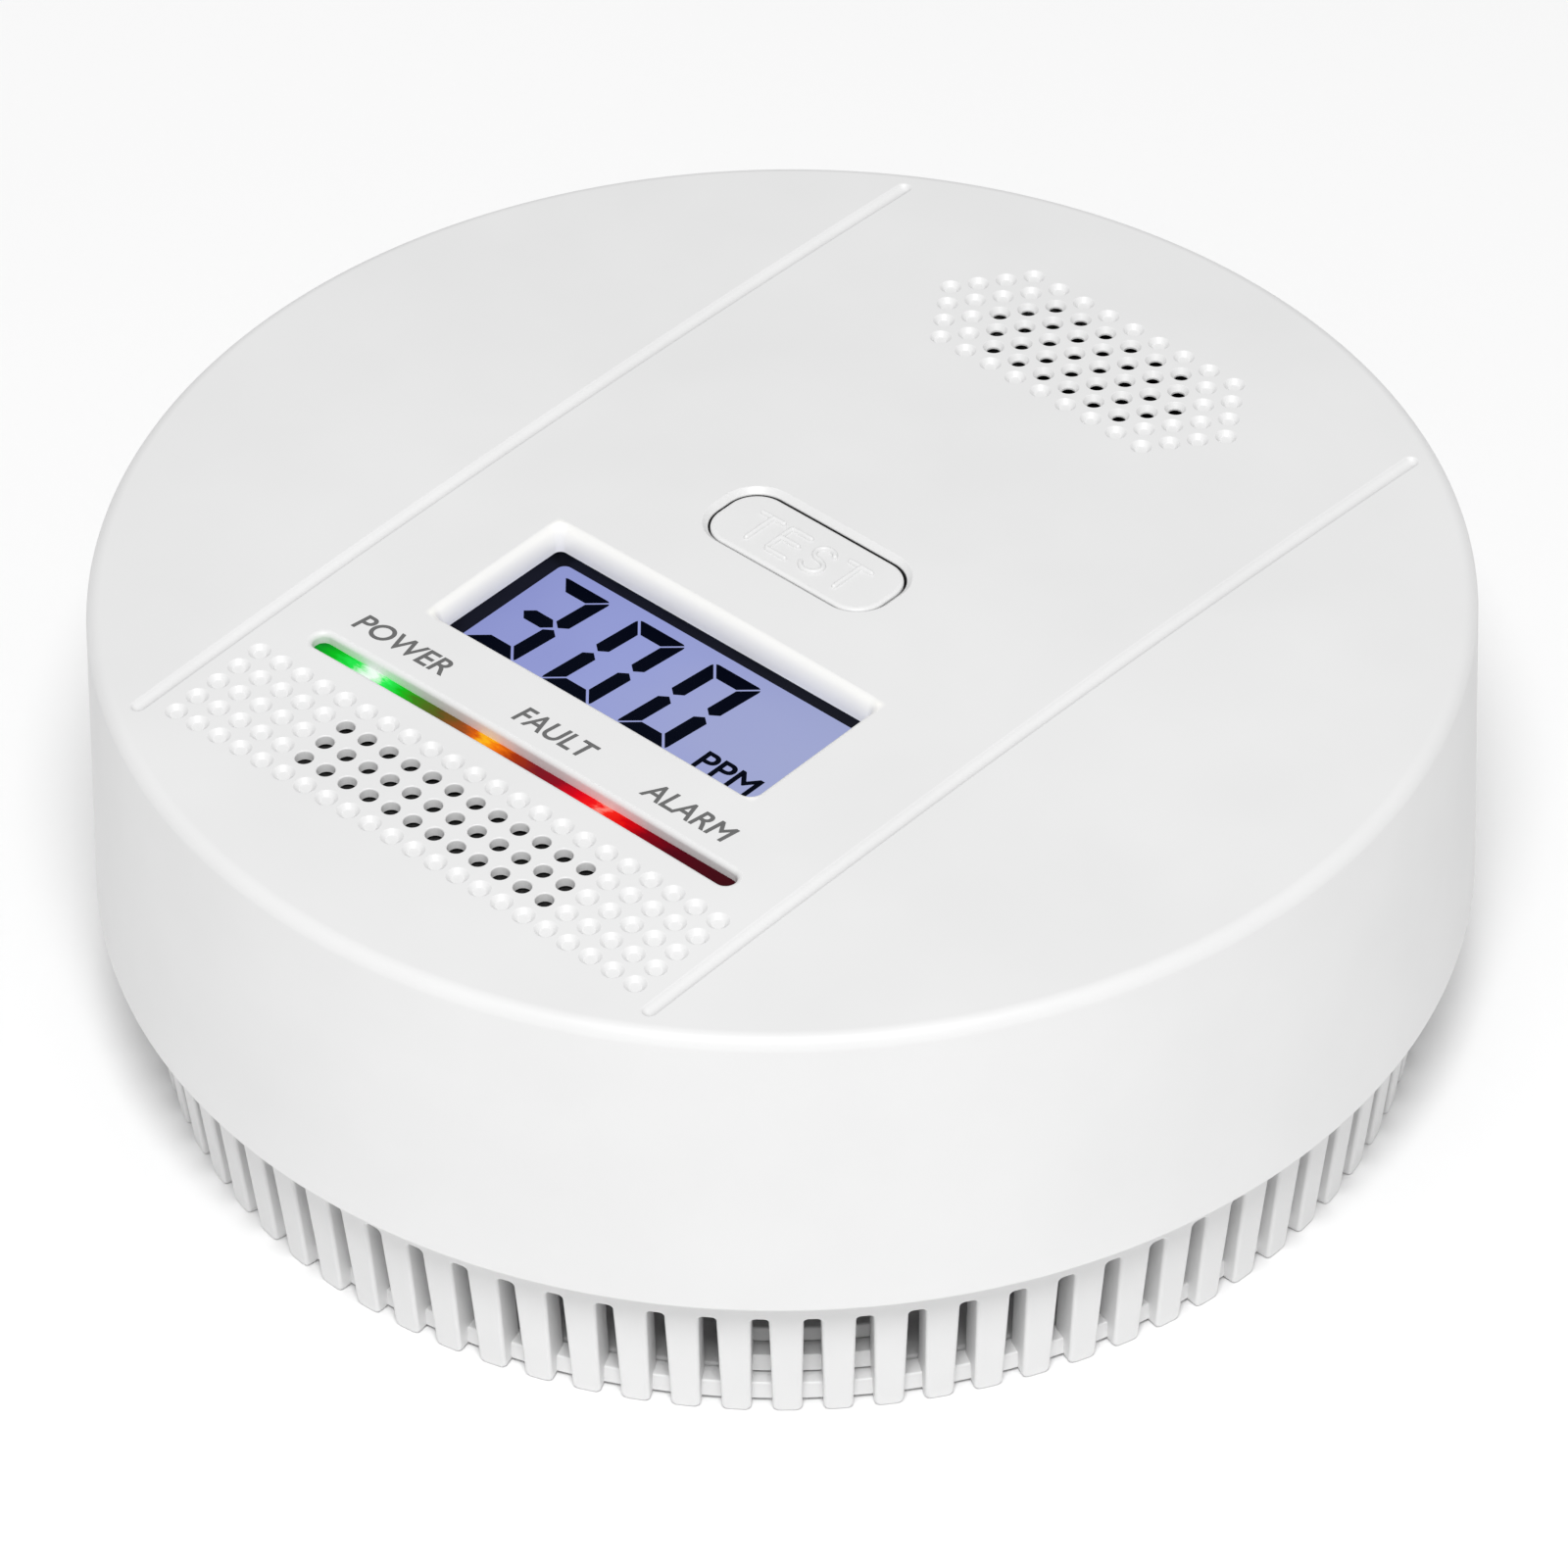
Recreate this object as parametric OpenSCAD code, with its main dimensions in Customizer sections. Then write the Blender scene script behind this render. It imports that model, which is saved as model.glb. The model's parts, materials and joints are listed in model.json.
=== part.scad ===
// Round battery carbon monoxide detector with a twist-off wall plate.
// Origin: centre of the wall face. +Z: out of the front face. +X: reading direction. +Y: up the display.
// Sizes in millimetres.

/* [Front cover] */
// Radius of the cover at its front edge
cover_r = 52; // [50:0.5:54]
// Draft of the side wall, in degrees
cover_draft = 0.93; // [0:0.1:1.5]
// Height of the middle of the domed face above the wall
total_h = 41; // [40:0.2:43]
// Rise of the domed face from its edge to its middle
dome_rise = 1.4; // [1:0.1:2]
// Radius of the rounded front edge
rim_r = 1.2; // [0.8:0.1:2]
// Thickness of the cover
cover_wall = 2; // [1.6:0.1:2.2]
// Height of the seam between cover and rear housing
seam_z = 13.75; // [13:0.25:14.5]

/* [Face details] */
// Distance of each groove from the middle
groove_x = 25.75; // [25:0.25:28]
// Half length of each groove
groove_half = 42.3; // [40:0.1:42.3]
// Radius of the groove's round section
groove_r = 0.6; // [0.5:0.05:0.9]
// Depth of the groove
groove_depth = 0.35; // [0.2:0.05:0.5]
// Distance between neighbouring holes of the sensor grille
sensor_pitch = 2.2; // [2.1:0.05:2.3]
// Middle of the sensor grille
sensor_grille_y = -36.55; // [-37:0.05:-36]
// Radius of the sensor grille's open holes
sensor_hole_r = 0.72; // [0.5:0.02:0.8]
// Distance between neighbouring dimples in a row of the sounder grille
sounder_pitch = 2.54; // [2.4:0.02:2.6]
// Distance between the rows of the sounder grille
sounder_row = 1.8; // [1.75:0.05:1.9]
// Middle of the sounder grille
sounder_y = 34.8; // [34:0.1:35]
// Sideways offset of the sounder grille
sounder_x = -0.2; // [-0.5:0.1:0.5]
// Radius of the sounder grille's open holes
sounder_hole_r = 0.55; // [0.4:0.05:0.6]
// Radius of a dimple at the face
dimple_r = 0.86; // [0.6:0.02:0.88]
// Depth of a dimple
dimple_depth = 0.4; // [0.3:0.05:0.5]
// Thickness of the face at the sensor grille
grille_wall = 0.8; // [0.7:0.05:1]
// Thickness of the face at the sounder grille
sounder_wall = 0.95; // [0.85:0.05:1.3]

/* [Display, light bar and button] */
// Width of the display opening at its foot
display_w = 31.6; // [31:0.1:32]
// Height of the display opening at its foot
display_h = 13.2; // [13:0.05:14]
// Corner radius of the display opening at its foot
display_corner = 0.6; // [0.4:0.1:1.2]
// Widening of the display opening at the face, on every side
display_flare = 0.85; // [0.5:0.05:0.9]
// Middle of the display opening
display_y = -13.78; // [-14.5:0.02:-13.5]
// Sideways offset of the display opening
display_x = -0.22; // [-0.5:0.02:0.5]
// Length of the light bar slot
bar_w = 42.2; // [40:0.1:43]
// Height of the light bar slot
bar_h = 1.65; // [1.5:0.05:2]
// Middle of the light bar slot
bar_y = -28.26; // [-28.5:0.02:-28]
// Width of the button opening
button_w = 16.95; // [16:0.05:17.5]
// Height of the button opening
button_h = 6.9; // [6.5:0.05:7.2]
// Corner radius of the button opening
button_corner = 2.75; // [1.5:0.05:3.2]
// Middle of the button
button_y = 3.1; // [2.5:0.05:3.4]
// Sideways offset of the button
button_x = -0.25; // [-0.5:0.05:0.5]
// Gap round the button
button_gap = 0.2; // [0.15:0.01:0.35]

/* [Rear housing] */
// Number of ribs and vent slots round the housing
vent_count = 80; // [72:1:84]
// Angle of the first vent slot
vent_phase = -0.36; // [-2:0.01:2]
// Radius of the ribs at the wall
rib_foot_r = 48.14; // [47.5:0.02:48.4]
// Outward slope of the ribs, in millimetres per millimetre
rib_slope = 0.125; // [0.08:0.005:0.14]
// Radial depth of the ribs
rib_depth = 2.6; // [2.2:0.1:2.8]
// Width of a vent slot at its top
slot_top_w = 1.27; // [1:0.01:1.4]
// Width of a vent slot above its foot
slot_low_w = 1.57; // [1.4:0.01:1.7]
// Height of the top of the vent slots
slot_top_z = 10.2; // [9.5:0.1:10.6]
// Thickness of the housing walls
housing_wall = 1.5; // [1.2:0.1:1.8]

/* [Wall plate] */
// Thickness of the wall plate
plate_t = 1.8; // [1.5:0.1:1.9]
// Radius of the wall plate
plate_r = 45.1; // [44.5:0.1:45.2]
// Radius of the wall screw holes
wall_hole_r = 2.1; // [1.8:0.1:2.5]
// Distance between the two wall screw holes
wall_hole_spacing = 66; // [62:1:68]

/* [Battery bay] */
// Radius of a cell
cell_r = 7.1; // [7:0.05:7.2]
// Length of a cell over its positive cap
cell_length = 50.5; // [50:0.1:50.5]
// Distance between neighbouring cells
cell_pitch = 15; // [14.8:0.1:15.2]
// Height of the cells' axes
cell_z = 9.9; // [9.7:0.1:10]

/* [Hidden] */
$fn = 64;
eps = 0.01;
// Facets of the wide arcs of the domed face
wide_fn = 3600;

// Domed face: a sphere cap that meets the edge radius
dome_r = (cover_r * cover_r + dome_rise * dome_rise) / (2 * dome_rise);
dome_c = total_h - dome_r;
rim_cr = cover_r - rim_r;
rim_cz = dome_c + sqrt(pow(dome_r - rim_r, 2) - pow(rim_cr, 2));
rim_tangent = dome_r / (dome_r - rim_r);
wall_foot_r = rim_cr + rim_r * cos(cover_draft) + (rim_cz - seam_z) * tan(cover_draft);
function dome_z(x, y) = dome_c + sqrt(dome_r * dome_r - x * x - y * y);

// Heights of the inner stack
housing_top = seam_z - 0.15;
deck_z = housing_top - housing_wall;
board_t = 1.6;
board_z = 21;
board_top = board_z + board_t;
display_z = dome_z(0, display_y) - 4.2;
frame_top = dome_z(0, display_y) - 2.3;
frame_window = [32.1, 14.5];
bar_top = dome_z(0, bar_y) - 1.05;
bar_low = bar_top - 3;
bar_lip_top = bar_top - 1.45;
bar_lip_t = 1.1;

// Battery bay
bay_x = 28.5;
bay_y = 1.5 * cell_pitch + 0.2;
bay_low = 2.3;
bay_top = cell_z + cell_r + 0.3;
contact_t = 0.4;
cap_r = 2.75;
cap_h = 1.3;
cell_tip = bay_x - contact_t - 0.05;
lead_w = 1.5;
lead_gap = 0.3;

// Fasteners
case_boss = [35, 25];
case_boss_r = 3.2;
case_shank_r = 1.15;
board_post = [38.5, 7];
board_post_r = 2.8;
board_shank_r = 0.95;

// Bayonet between wall plate and housing
hook_angles = [45, 135, 225, 315];
hook_half = 7;
hook_z = 4.1;
hook_top = 5.5;

// Positions on the board
led_x = [-15.4, -3.9, 7.8];
led_flange_z = board_top + 3;
led_r = 1.5;
pipe_foot = 31.6;
sensor_y = -37.2;
sensor_r = 7;
sensor_low = board_top + 0.6;
sensor_split = 33;
sensor_top = 36.4;
sounder_r = 12;
sounder_lid_z = 32;
disc_z = 27.8;
switch_h = 3.5;
stem_r = 1.7;
stem_top = 36.2;
running_gap = 0.08;
flange_low = 37.6;
flange_top = 38.75;
sensor_pocket = [49.4, 11.6];
filter_top = 39.1;
filter_t = 0.8;
frame_w = 38.5;
frame_h = 21.5;
glass_w = 36;
glass_h = 19;
glass_t = 1.8;

// ---------- shared shapes ----------

// Rounded rectangle, centred
module rounded_rect(w, h, r) {
    square([w - 2 * r, h], center = true);
    square([w, h - 2 * r], center = true);
    for (sx = [-1, 1], sy = [-1, 1])
        translate([sx * (w / 2 - r), sy * (h / 2 - r)])
            circle(r);
}

// Rounded block standing on z = low
module rounded_block(w, h, r, low, high) {
    translate([0, 0, low])
        linear_extrude(high - low)
            rounded_rect(w, h, r);
}

// Plain block, centred in x and y, standing on z = low
module block(w, h, low, high) {
    translate([-w / 2, -h / 2, low])
        cube([w, h, high - low]);
}

// Round bar or hole between two heights
module post(r, low, high) {
    translate([0, 0, low])
        cylinder(r = r, h = high - low);
}

// Flat ring between two heights
module ring(r_out, r_in, low, high) {
    difference() {
        post(r_out, low, high);
        post(r_in, low - 1, high + 1);
    }
}

// Sector of a flat ring, centred on the given angle
module ring_sector(r_in, r_out, low, high, angle, half) {
    rotate([0, 0, angle - half])
        rotate_extrude(angle = 2 * half)
            translate([r_in, low])
                square([r_out - r_in, high - low]);
}

module mirrored_pair(p) {
    for (sx = [-1, 1], sy = [-1, 1])
        translate([sx * p[0], sy * p[1], 0])
            children();
}

// ---------- front cover ----------

// Half section of the cover's outside, down to the seam
module cover_section() {
    intersection() {
        translate([0, dome_c])
            circle(dome_r, $fn = wide_fn);
        polygon([[0, seam_z], [rim_cr * rim_tangent, seam_z],
                 [rim_cr * rim_tangent, total_h + 1], [0, total_h + 1]]);
    }
    intersection() {
        translate([rim_cr, rim_cz])
            circle(rim_r);
        translate([rim_cr, rim_cz - rim_r])
            square(3 * rim_r);
    }
    polygon([[0, seam_z], [wall_foot_r, seam_z],
             [rim_cr + rim_r * cos(cover_draft), rim_cz + rim_r * sin(cover_draft)], [0, rim_cz]]);
}

// Half section of the hollow inside the cover
module cover_hollow_section() {
    intersection() {
        translate([0, dome_c])
            circle(dome_r - cover_wall, $fn = wide_fn);
        polygon([[0, seam_z - 1], [wall_foot_r - cover_wall, seam_z - 1],
                 [cover_r - cover_wall, total_h], [0, total_h]]);
    }
}

// Everything further than depth below the domed face
module below_face(depth) {
    rotate_extrude($fn = 180)
        intersection() {
            translate([0, dome_c])
                circle(dome_r - depth, $fn = wide_fn);
            translate([0, seam_z - 1])
                square([cover_r - cover_wall / 2, total_h]);
        }
}

// Pockets that thin the face behind the two grilles
module grille_pockets() {
    intersection() {
        translate([0, sensor_grille_y, 0])
            rounded_block(sensor_pocket[0], sensor_pocket[1], 1, total_h - 5, total_h);
        below_face(grille_wall);
    }
    intersection() {
        translate([0, sounder_y, 0])
            post(sounder_r - 0.5, total_h - 5, total_h);
        below_face(sounder_wall);
    }
}

// Sphere that presses a dimple into the face
module dimple(x, y) {
    ball = (dimple_r * dimple_r + dimple_depth * dimple_depth) / (2 * dimple_depth);
    translate([x, y, dome_z(x, y) - dimple_depth + ball])
        sphere(r = ball);
}

// Round hole through the face
module face_hole(x, y, r) {
    translate([x, y, dome_z(x, y) - cover_wall - 1])
        cylinder(r = r, h = cover_wall + 2);
}

// Square lattice: the middle twelve of three rows are open, the rest are dimples
module sensor_grille() {
    for (row = [-2:2], col = [0:21]) {
        x = (col - 10.5) * sensor_pitch;
        y = sensor_grille_y + row * sensor_pitch;
        if (abs(row) < 2 && abs(col - 10.5) < 6)
            face_hole(x, y, sensor_hole_r);
        else
            dimple(x, y);
    }
}

// Staggered rows: every place is a dimple, and the middle ones are open as well
module sounder_grille() {
    for (row = [-3:3]) {
        count = 12 - abs(row);
        open_count = 8 - abs(row);
        for (col = [0:count - 1]) {
            x = sounder_x + (col - (count - 1) / 2) * sounder_pitch;
            y = sounder_y + row * sounder_row;
            dimple(x, y);
            if (abs(row) < 3 && abs(col - (count - 1) / 2) < open_count / 2)
                face_hole(x, y, sounder_hole_r);
        }
    }
}

// Round-bottomed groove that follows the dome, with round ends
module face_groove(x) {
    path_r = sqrt(dome_r * dome_r - x * x) + groove_r - groove_depth;
    half_angle = asin(groove_half / path_r);
    translate([x, 0, dome_c]) {
        rotate([0, -90, 0])
            rotate([0, 0, -half_angle])
                rotate_extrude(angle = 2 * half_angle, $fn = wide_fn)
                    translate([path_r, 0])
                        circle(groove_r, $fn = 48);
        for (side = [-1, 1])
            rotate([-side * half_angle, 0, 0])
                translate([0, 0, path_r])
                    intersection() {
                        sphere(r = groove_r);
                        translate([0, side * groove_r, 0])
                            cube(2 * groove_r, center = true);
                    }
    }
}

// Rectangular frustum for the display, from its foot up to a wider mouth at the face
module display_opening() {
    mouth_z = dome_z(display_x, display_y);
    intersection() {
        tapered_bar(display_w, total_h, mouth_z);
        rotate([0, 0, 90])
            tapered_bar(display_h, total_h, mouth_z);
        rounded_block(display_w + 2 * display_flare, display_h + 2 * display_flare,
                      display_corner + display_flare, frame_top - 1, total_h + 1);
    }
}

// Long bar of trapezium section, its width across x at the foot and wider by the flare at the face
module tapered_bar(foot_w, length, mouth_z) {
    slope = display_flare / (mouth_z - frame_top);
    top_w = foot_w / 2 + display_flare + slope * (total_h + 1 - mouth_z);
    rotate([90, 0, 0])
        linear_extrude(length, center = true)
            polygon([[-foot_w / 2, frame_top - 1], [foot_w / 2, frame_top - 1], [foot_w / 2, frame_top],
                     [top_w, total_h + 1], [-top_w, total_h + 1], [-foot_w / 2, frame_top]]);
}

module front_cover() {
    color("whitesmoke")
        difference() {
            union() {
                difference() {
                    rotate_extrude($fn = 180)
                        cover_section();
                    rotate_extrude($fn = 180)
                        cover_hollow_section();
                }
                intersection() {
                    union() {
                        mirrored_pair(case_boss)
                            post(case_boss_r, housing_top, total_h);
                        mirrored_pair(board_post)
                            post(board_post_r, board_top, total_h);
                        translate([0, sounder_y, 0])
                            ring(sounder_r + 1.4, sounder_r + 0.4, 31, total_h);
                        translate([display_x, display_y, 0])
                            rounded_block(display_w + 2.4, display_h + 2.4, display_corner + 1.2,
                                          frame_top, total_h);
                    }
                    below_face(cover_wall / 2);
                }
            }
            translate([display_x, display_y, 0])
                display_opening();
            translate([0, bar_y, 0])
                rounded_block(bar_w, bar_h, bar_h / 2 - eps, total_h - 6, total_h + 1);
            translate([button_x, button_y, 0])
                rounded_block(button_w, button_h, button_corner, total_h - 5, total_h + 1);
            grille_pockets();
            sensor_grille();
            sounder_grille();
            face_groove(-groove_x);
            face_groove(groove_x);
            mirrored_pair(case_boss)
                post(case_shank_r + 0.05, housing_top - 1, housing_top + 11);
            mirrored_pair(board_post)
                post(board_shank_r + 0.05, board_top - 1, board_top + 7);
        }
}

// ---------- rear housing ----------

// Outline of one vent slot, wider at its foot, with rounded top corners
module slot_outline() {
    corner = 0.4;
    polygon([[-slot_top_w / 2 + corner, slot_top_z], [-slot_top_w / 2, slot_top_z - corner],
             [-slot_low_w / 2, 1.3], [-slot_low_w / 2 - 0.4, -1],
             [slot_low_w / 2 + 0.4, -1], [slot_low_w / 2, 1.3],
             [slot_top_w / 2, slot_top_z - corner], [slot_top_w / 2 - corner, slot_top_z]]);
    for (side = [-1, 1])
        translate([side * (slot_top_w / 2 - corner), slot_top_z - corner])
            circle(corner);
}

module vent_slots() {
    for (i = [0:vent_count - 1])
        rotate([0, 0, vent_phase + i * 360 / vent_count])
            translate([rib_foot_r - rib_depth - 2, 0, 0])
                rotate([90, 0, 90])
                    linear_extrude(rib_depth + 6)
                        slot_outline();
}

// Sloping wall of ribs, closed above the slots
module rib_wall() {
    difference() {
        rotate_extrude($fn = 180)
            polygon([[rib_foot_r - rib_depth, 0], [rib_foot_r, 0],
                     [rib_foot_r + rib_slope * housing_top, housing_top],
                     [rib_foot_r - rib_depth + rib_slope * housing_top, housing_top]]);
        vent_slots();
    }
}

module rear_housing() {
    deck_r = rib_foot_r - rib_depth + rib_slope * deck_z + 0.5;
    color("gainsboro")
        difference() {
            union() {
                rib_wall();
                ring(rib_foot_r - 0.95, rib_foot_r - rib_depth, 0.4, 2);
                ring(49.2, 47.6, housing_top - 0.5, housing_top + 3.4);
                post(deck_r, deck_z, housing_top);
                rounded_block(2 * (bay_x + housing_wall), 2 * (bay_y + housing_wall), 1,
                              bay_low, bay_top + housing_wall);
                for (a = hook_angles)
                    ring_sector(43.6, rib_foot_r - rib_depth + 0.7, bay_low, hook_z - 0.2, a, hook_half - 0.5);
            }
            difference() {
                block(2 * bay_x, 2 * bay_y, bay_low - 1, bay_top);
                for (side = [-1, 1])
                    translate([0, side * cell_pitch / 2, 0])
                        block(2 * bay_x - 14, 0.5, cell_z - 1, bay_top + 1);
            }
            mirrored_pair(case_boss)
                post(case_shank_r + 0.45, deck_z - 1, housing_top + 1);
            for (a = [-120:12:-60])
                rotate([0, 0, a])
                    translate([37, 0, 0])
                        rounded_block(9, 2.4, 1.1, deck_z - 1, housing_top + 1);
            for (side = [-1, 1])
                translate([side * (bay_x - contact_t / 2), side * cell_pitch, 0])
                    block(contact_t + 2 * lead_gap, lead_w + 2 * lead_gap, bay_top - 1, board_z);
        }
}

// ---------- wall plate ----------

module mounting_plate() {
    color("whitesmoke")
        difference() {
            union() {
                post(plate_r, 0, plate_t);
                for (a = hook_angles) {
                    ring_sector(41.4, 42.9, plate_t - eps, hook_top, a, hook_half);
                    ring_sector(42.8, 45, hook_z, hook_top, a, hook_half);
                }
            }
            for (side = [-1, 1])
                translate([0, side * wall_hole_spacing / 2, 0])
                    post(wall_hole_r, -1, plate_t + 1);
            for (side = [-1, 1])
                translate([side * 33, 0, 0])
                    rounded_block(4.4, 14, 2.1, -1, plate_t + 1);
            post(9, -1, plate_t + 1);
        }
}

// ---------- fasteners ----------

// Pan head screw, driven upwards, with a cross recess
module screw(head_r, head_h, shank_r, length) {
    difference() {
        union() {
            post(head_r, -head_h, 0);
            post(shank_r, -eps, length);
        }
        for (a = [0, 90])
            rotate([0, 0, a])
                block(head_r * 1.2, head_r * 0.28, -head_h - 1, -head_h * 0.4);
    }
}

module case_screws() {
    color("silver")
        mirrored_pair(case_boss)
            translate([0, 0, deck_z])
                screw(2.6, 1.8, case_shank_r, 11);
}

module board_screws() {
    color("silver")
        mirrored_pair(board_post)
            translate([0, 0, board_z])
                screw(2.2, 1.4, board_shank_r, 7);
}

// ---------- circuit board and what is on it ----------

module circuit_board() {
    color("seagreen")
        difference() {
            post(46.5, board_z, board_top);
            mirrored_pair(case_boss)
                post(case_boss_r + 0.6, board_z - 1, board_top + 1);
            mirrored_pair(board_post)
                post(board_shank_r + 0.35, board_z - 1, board_top + 1);
            for (side = [-1, 1])
                translate([side * (bay_x - contact_t / 2), side * cell_pitch, 0])
                    block(contact_t + 0.4, lead_w + 0.4, board_z - 1, board_top + 1);
        }
}

// Low chip with a row of legs on each long side
module chip(w, h, t, legs, pitch) {
    block(w, h, board_top + 0.1, board_top + 0.1 + t);
    for (side = [-1, 1], i = [0:legs - 1])
        translate([(i - (legs - 1) / 2) * pitch, side * (h / 2 + 0.4), 0])
            block(pitch * 0.45, 1, board_top, board_top + 0.35);
}

module microcontroller() {
    color("dimgray")
        translate([-20, 17, 0])
            chip(9, 7, 1.5, 10, 0.8);
}

module driver_chip() {
    color("dimgray")
        translate([19, 17, 0])
            chip(5, 4, 1.4, 4, 1.27);
}

module supply_capacitor() {
    color("midnightblue")
        translate([26, -10, 0])
            post(3.15, board_top, board_top + 8);
}

// Drum core with a winding
module boost_coil() {
    color("peru")
        translate([-26, -10, 0]) {
            post(4, board_top, board_top + 1);
            post(3.1, board_top + 1 - eps, board_top + 5 + eps);
            post(4, board_top + 5, board_top + 6);
        }
}

module timing_crystal() {
    color("silver")
        translate([-22, 5, 0])
            rounded_block(10.8, 4.4, 2.1, board_top, board_top + 3.4);
}

module chip_resistors() {
    color("black")
        for (i = [0:4], side = [-1, 1])
            translate([side * (15 + 3.2 * i), -1.5, 0])
                block(1.25, 2, board_top, board_top + 0.5);
}

// ---------- display ----------

module display_frame() {
    color("black")
        translate([display_x, display_y, 0])
            difference() {
                block(frame_w, frame_h, board_top, frame_top);
                block(frame_w - 2.2, frame_h - 2.2, board_top - 1, display_z);
                rounded_block(frame_window[0], frame_window[1], 0.7, board_top, frame_top + 1);
            }
}

module display_glass() {
    color("lavender")
        translate([display_x, display_y, 0])
            block(glass_w, glass_h, display_z - glass_t, display_z - 0.02);
}

module display_backlight() {
    color("white")
        translate([display_x, display_y, 0])
            rounded_block(glass_w - 2, glass_h - 4.6, 0.5,
                          display_z - glass_t - 3, display_z - glass_t - 0.05);
}

module display_connectors() {
    color("gray")
        for (side = [-1, 1])
            translate([display_x, display_y + side * (glass_h / 2 - 1), 0])
                block(glass_w - 3, 1.6, board_top, display_z - glass_t - 0.05);
}

// ---------- light bar and lamps ----------

module light_bar() {
    color("lightgray")
        translate([0, bar_y, 0]) {
            rounded_block(bar_w - 0.2, bar_h - 0.2, bar_h / 2 - 0.15, bar_low, bar_top);
            rounded_block(bar_w + 1.8, bar_h + 1.7, bar_h / 2, bar_lip_top - bar_lip_t, bar_lip_top);
            for (x = led_x)
                translate([x, 0, 0])
                    post(1.1, pipe_foot, bar_low + eps);
        }
}

// Round lamp with a flange and two legs
module lamp(x) {
    translate([x, bar_y, 0]) {
        post(led_r + 0.3, led_flange_z, led_flange_z + 0.9);
        post(led_r, led_flange_z + 0.9 - eps, led_flange_z + 4);
        translate([0, 0, led_flange_z + 4])
            sphere(r = led_r);
        for (side = [-1, 1])
            translate([side * 0.9, 0, 0])
                block(0.5, 0.5, board_top, led_flange_z + eps);
    }
}

module led_green() {
    color("limegreen")
        lamp(led_x[0]);
}

module led_amber() {
    color("orange")
        lamp(led_x[1]);
}

module led_red() {
    color("red")
        lamp(led_x[2]);
}

// ---------- test button and switch ----------

module test_button() {
    color("whitesmoke")
        translate([button_x, button_y, 0]) {
            rounded_block(button_w - 2 * button_gap, button_h - 2 * button_gap, button_corner - button_gap,
                          flange_top - 0.05, total_h - 0.05);
            rounded_block(button_w + 2.1, button_h + 2, 2, flange_low, flange_top);
            post(2.2, stem_top + 0.05, flange_low + 0.1);
        }
}

module switch_body() {
    color("black")
        translate([button_x, button_y, 0])
            difference() {
                block(6, 6, board_top, board_top + switch_h);
                post(stem_r + running_gap, board_top + 1, board_top + switch_h + 1);
            }
}

module switch_stem() {
    color("ivory")
        translate([button_x, button_y, 0])
            post(stem_r, board_top + 1.8, stem_top);
}

// ---------- gas sensor ----------

module co_sensor_body() {
    color("ivory")
        translate([0, sensor_y, 0])
            post(sensor_r, sensor_low, sensor_split);
}

module co_sensor_cap() {
    color("goldenrod")
        translate([0, sensor_y, 0])
            difference() {
                post(sensor_r, sensor_split, sensor_top);
                post(2, sensor_split + 1, sensor_top + 1);
            }
}

module co_sensor_pins() {
    color("silver")
        translate([0, sensor_y, 0])
            for (p = [[-3, 2], [3, 2], [0, -3]])
                translate([p[0], p[1], 0])
                    post(0.6, board_top, sensor_low);
}

module sensor_filter() {
    color("black")
        translate([0, sensor_grille_y, 0])
            rounded_block(28, 8.4, 1, filter_top - filter_t, filter_top);
}

// ---------- sounder ----------

module sounder_case() {
    color("black")
        translate([0, sounder_y, 0])
            difference() {
                post(sounder_r, board_top, sounder_lid_z);
                post(sounder_r - 2.2, board_top + 1.2, sounder_lid_z + 1);
                post(sounder_r - 1.2, disc_z, sounder_lid_z + 1);
            }
}

module sounder_lid() {
    color("black")
        translate([0, sounder_y, 0])
            difference() {
                post(sounder_r, sounder_lid_z, sounder_lid_z + 1.2);
                post(2.5, sounder_lid_z - 1, sounder_lid_z + 2);
            }
}

module sounder_disc() {
    color("gold")
        translate([0, sounder_y, 0])
            post(sounder_r - 1.4, disc_z, disc_z + 0.3);
}

module sounder_ceramic() {
    color("lightyellow")
        translate([0, sounder_y, 0])
            post(7.5, disc_z + 0.3, disc_z + 0.6);
}

module sounder_gasket() {
    color("dimgray")
        translate([0, sounder_y, 0])
            ring(sounder_r - 0.2, sounder_r - 2.6, sounder_lid_z + 1.2, sounder_lid_z + 2.6);
}

// ---------- batteries ----------

// Cell with its positive cap towards side * X
module cell(row, side) {
    color("darkorange")
        translate([side * cell_tip, row * cell_pitch, cell_z])
            rotate([0, -90 * side, 0]) {
                cylinder(r = cap_r, h = cap_h + eps);
                translate([0, 0, cap_h])
                    cylinder(r = cell_r, h = cell_length - cap_h);
            }
}

module battery_upper() {
    cell(1, 1);
}

module battery_middle() {
    cell(0, -1);
}

module battery_lower() {
    cell(-1, 1);
}

// Flat contact at each end of each cell, joined in pairs, with two leads up to the board
module battery_contacts() {
    color("silver")
        for (side = [-1, 1]) {
            x = side * (bay_x - contact_t / 2);
            pair_y = -side * cell_pitch / 2;
            translate([x, pair_y, 0])
                block(contact_t, cell_pitch + 10, cell_z - 5, cell_z + 5);
            translate([x, side * cell_pitch, 0]) {
                block(contact_t, 10, cell_z - 5, cell_z + 5);
                block(contact_t, lead_w, cell_z, board_top + 0.6);
            }
        }
}

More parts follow.
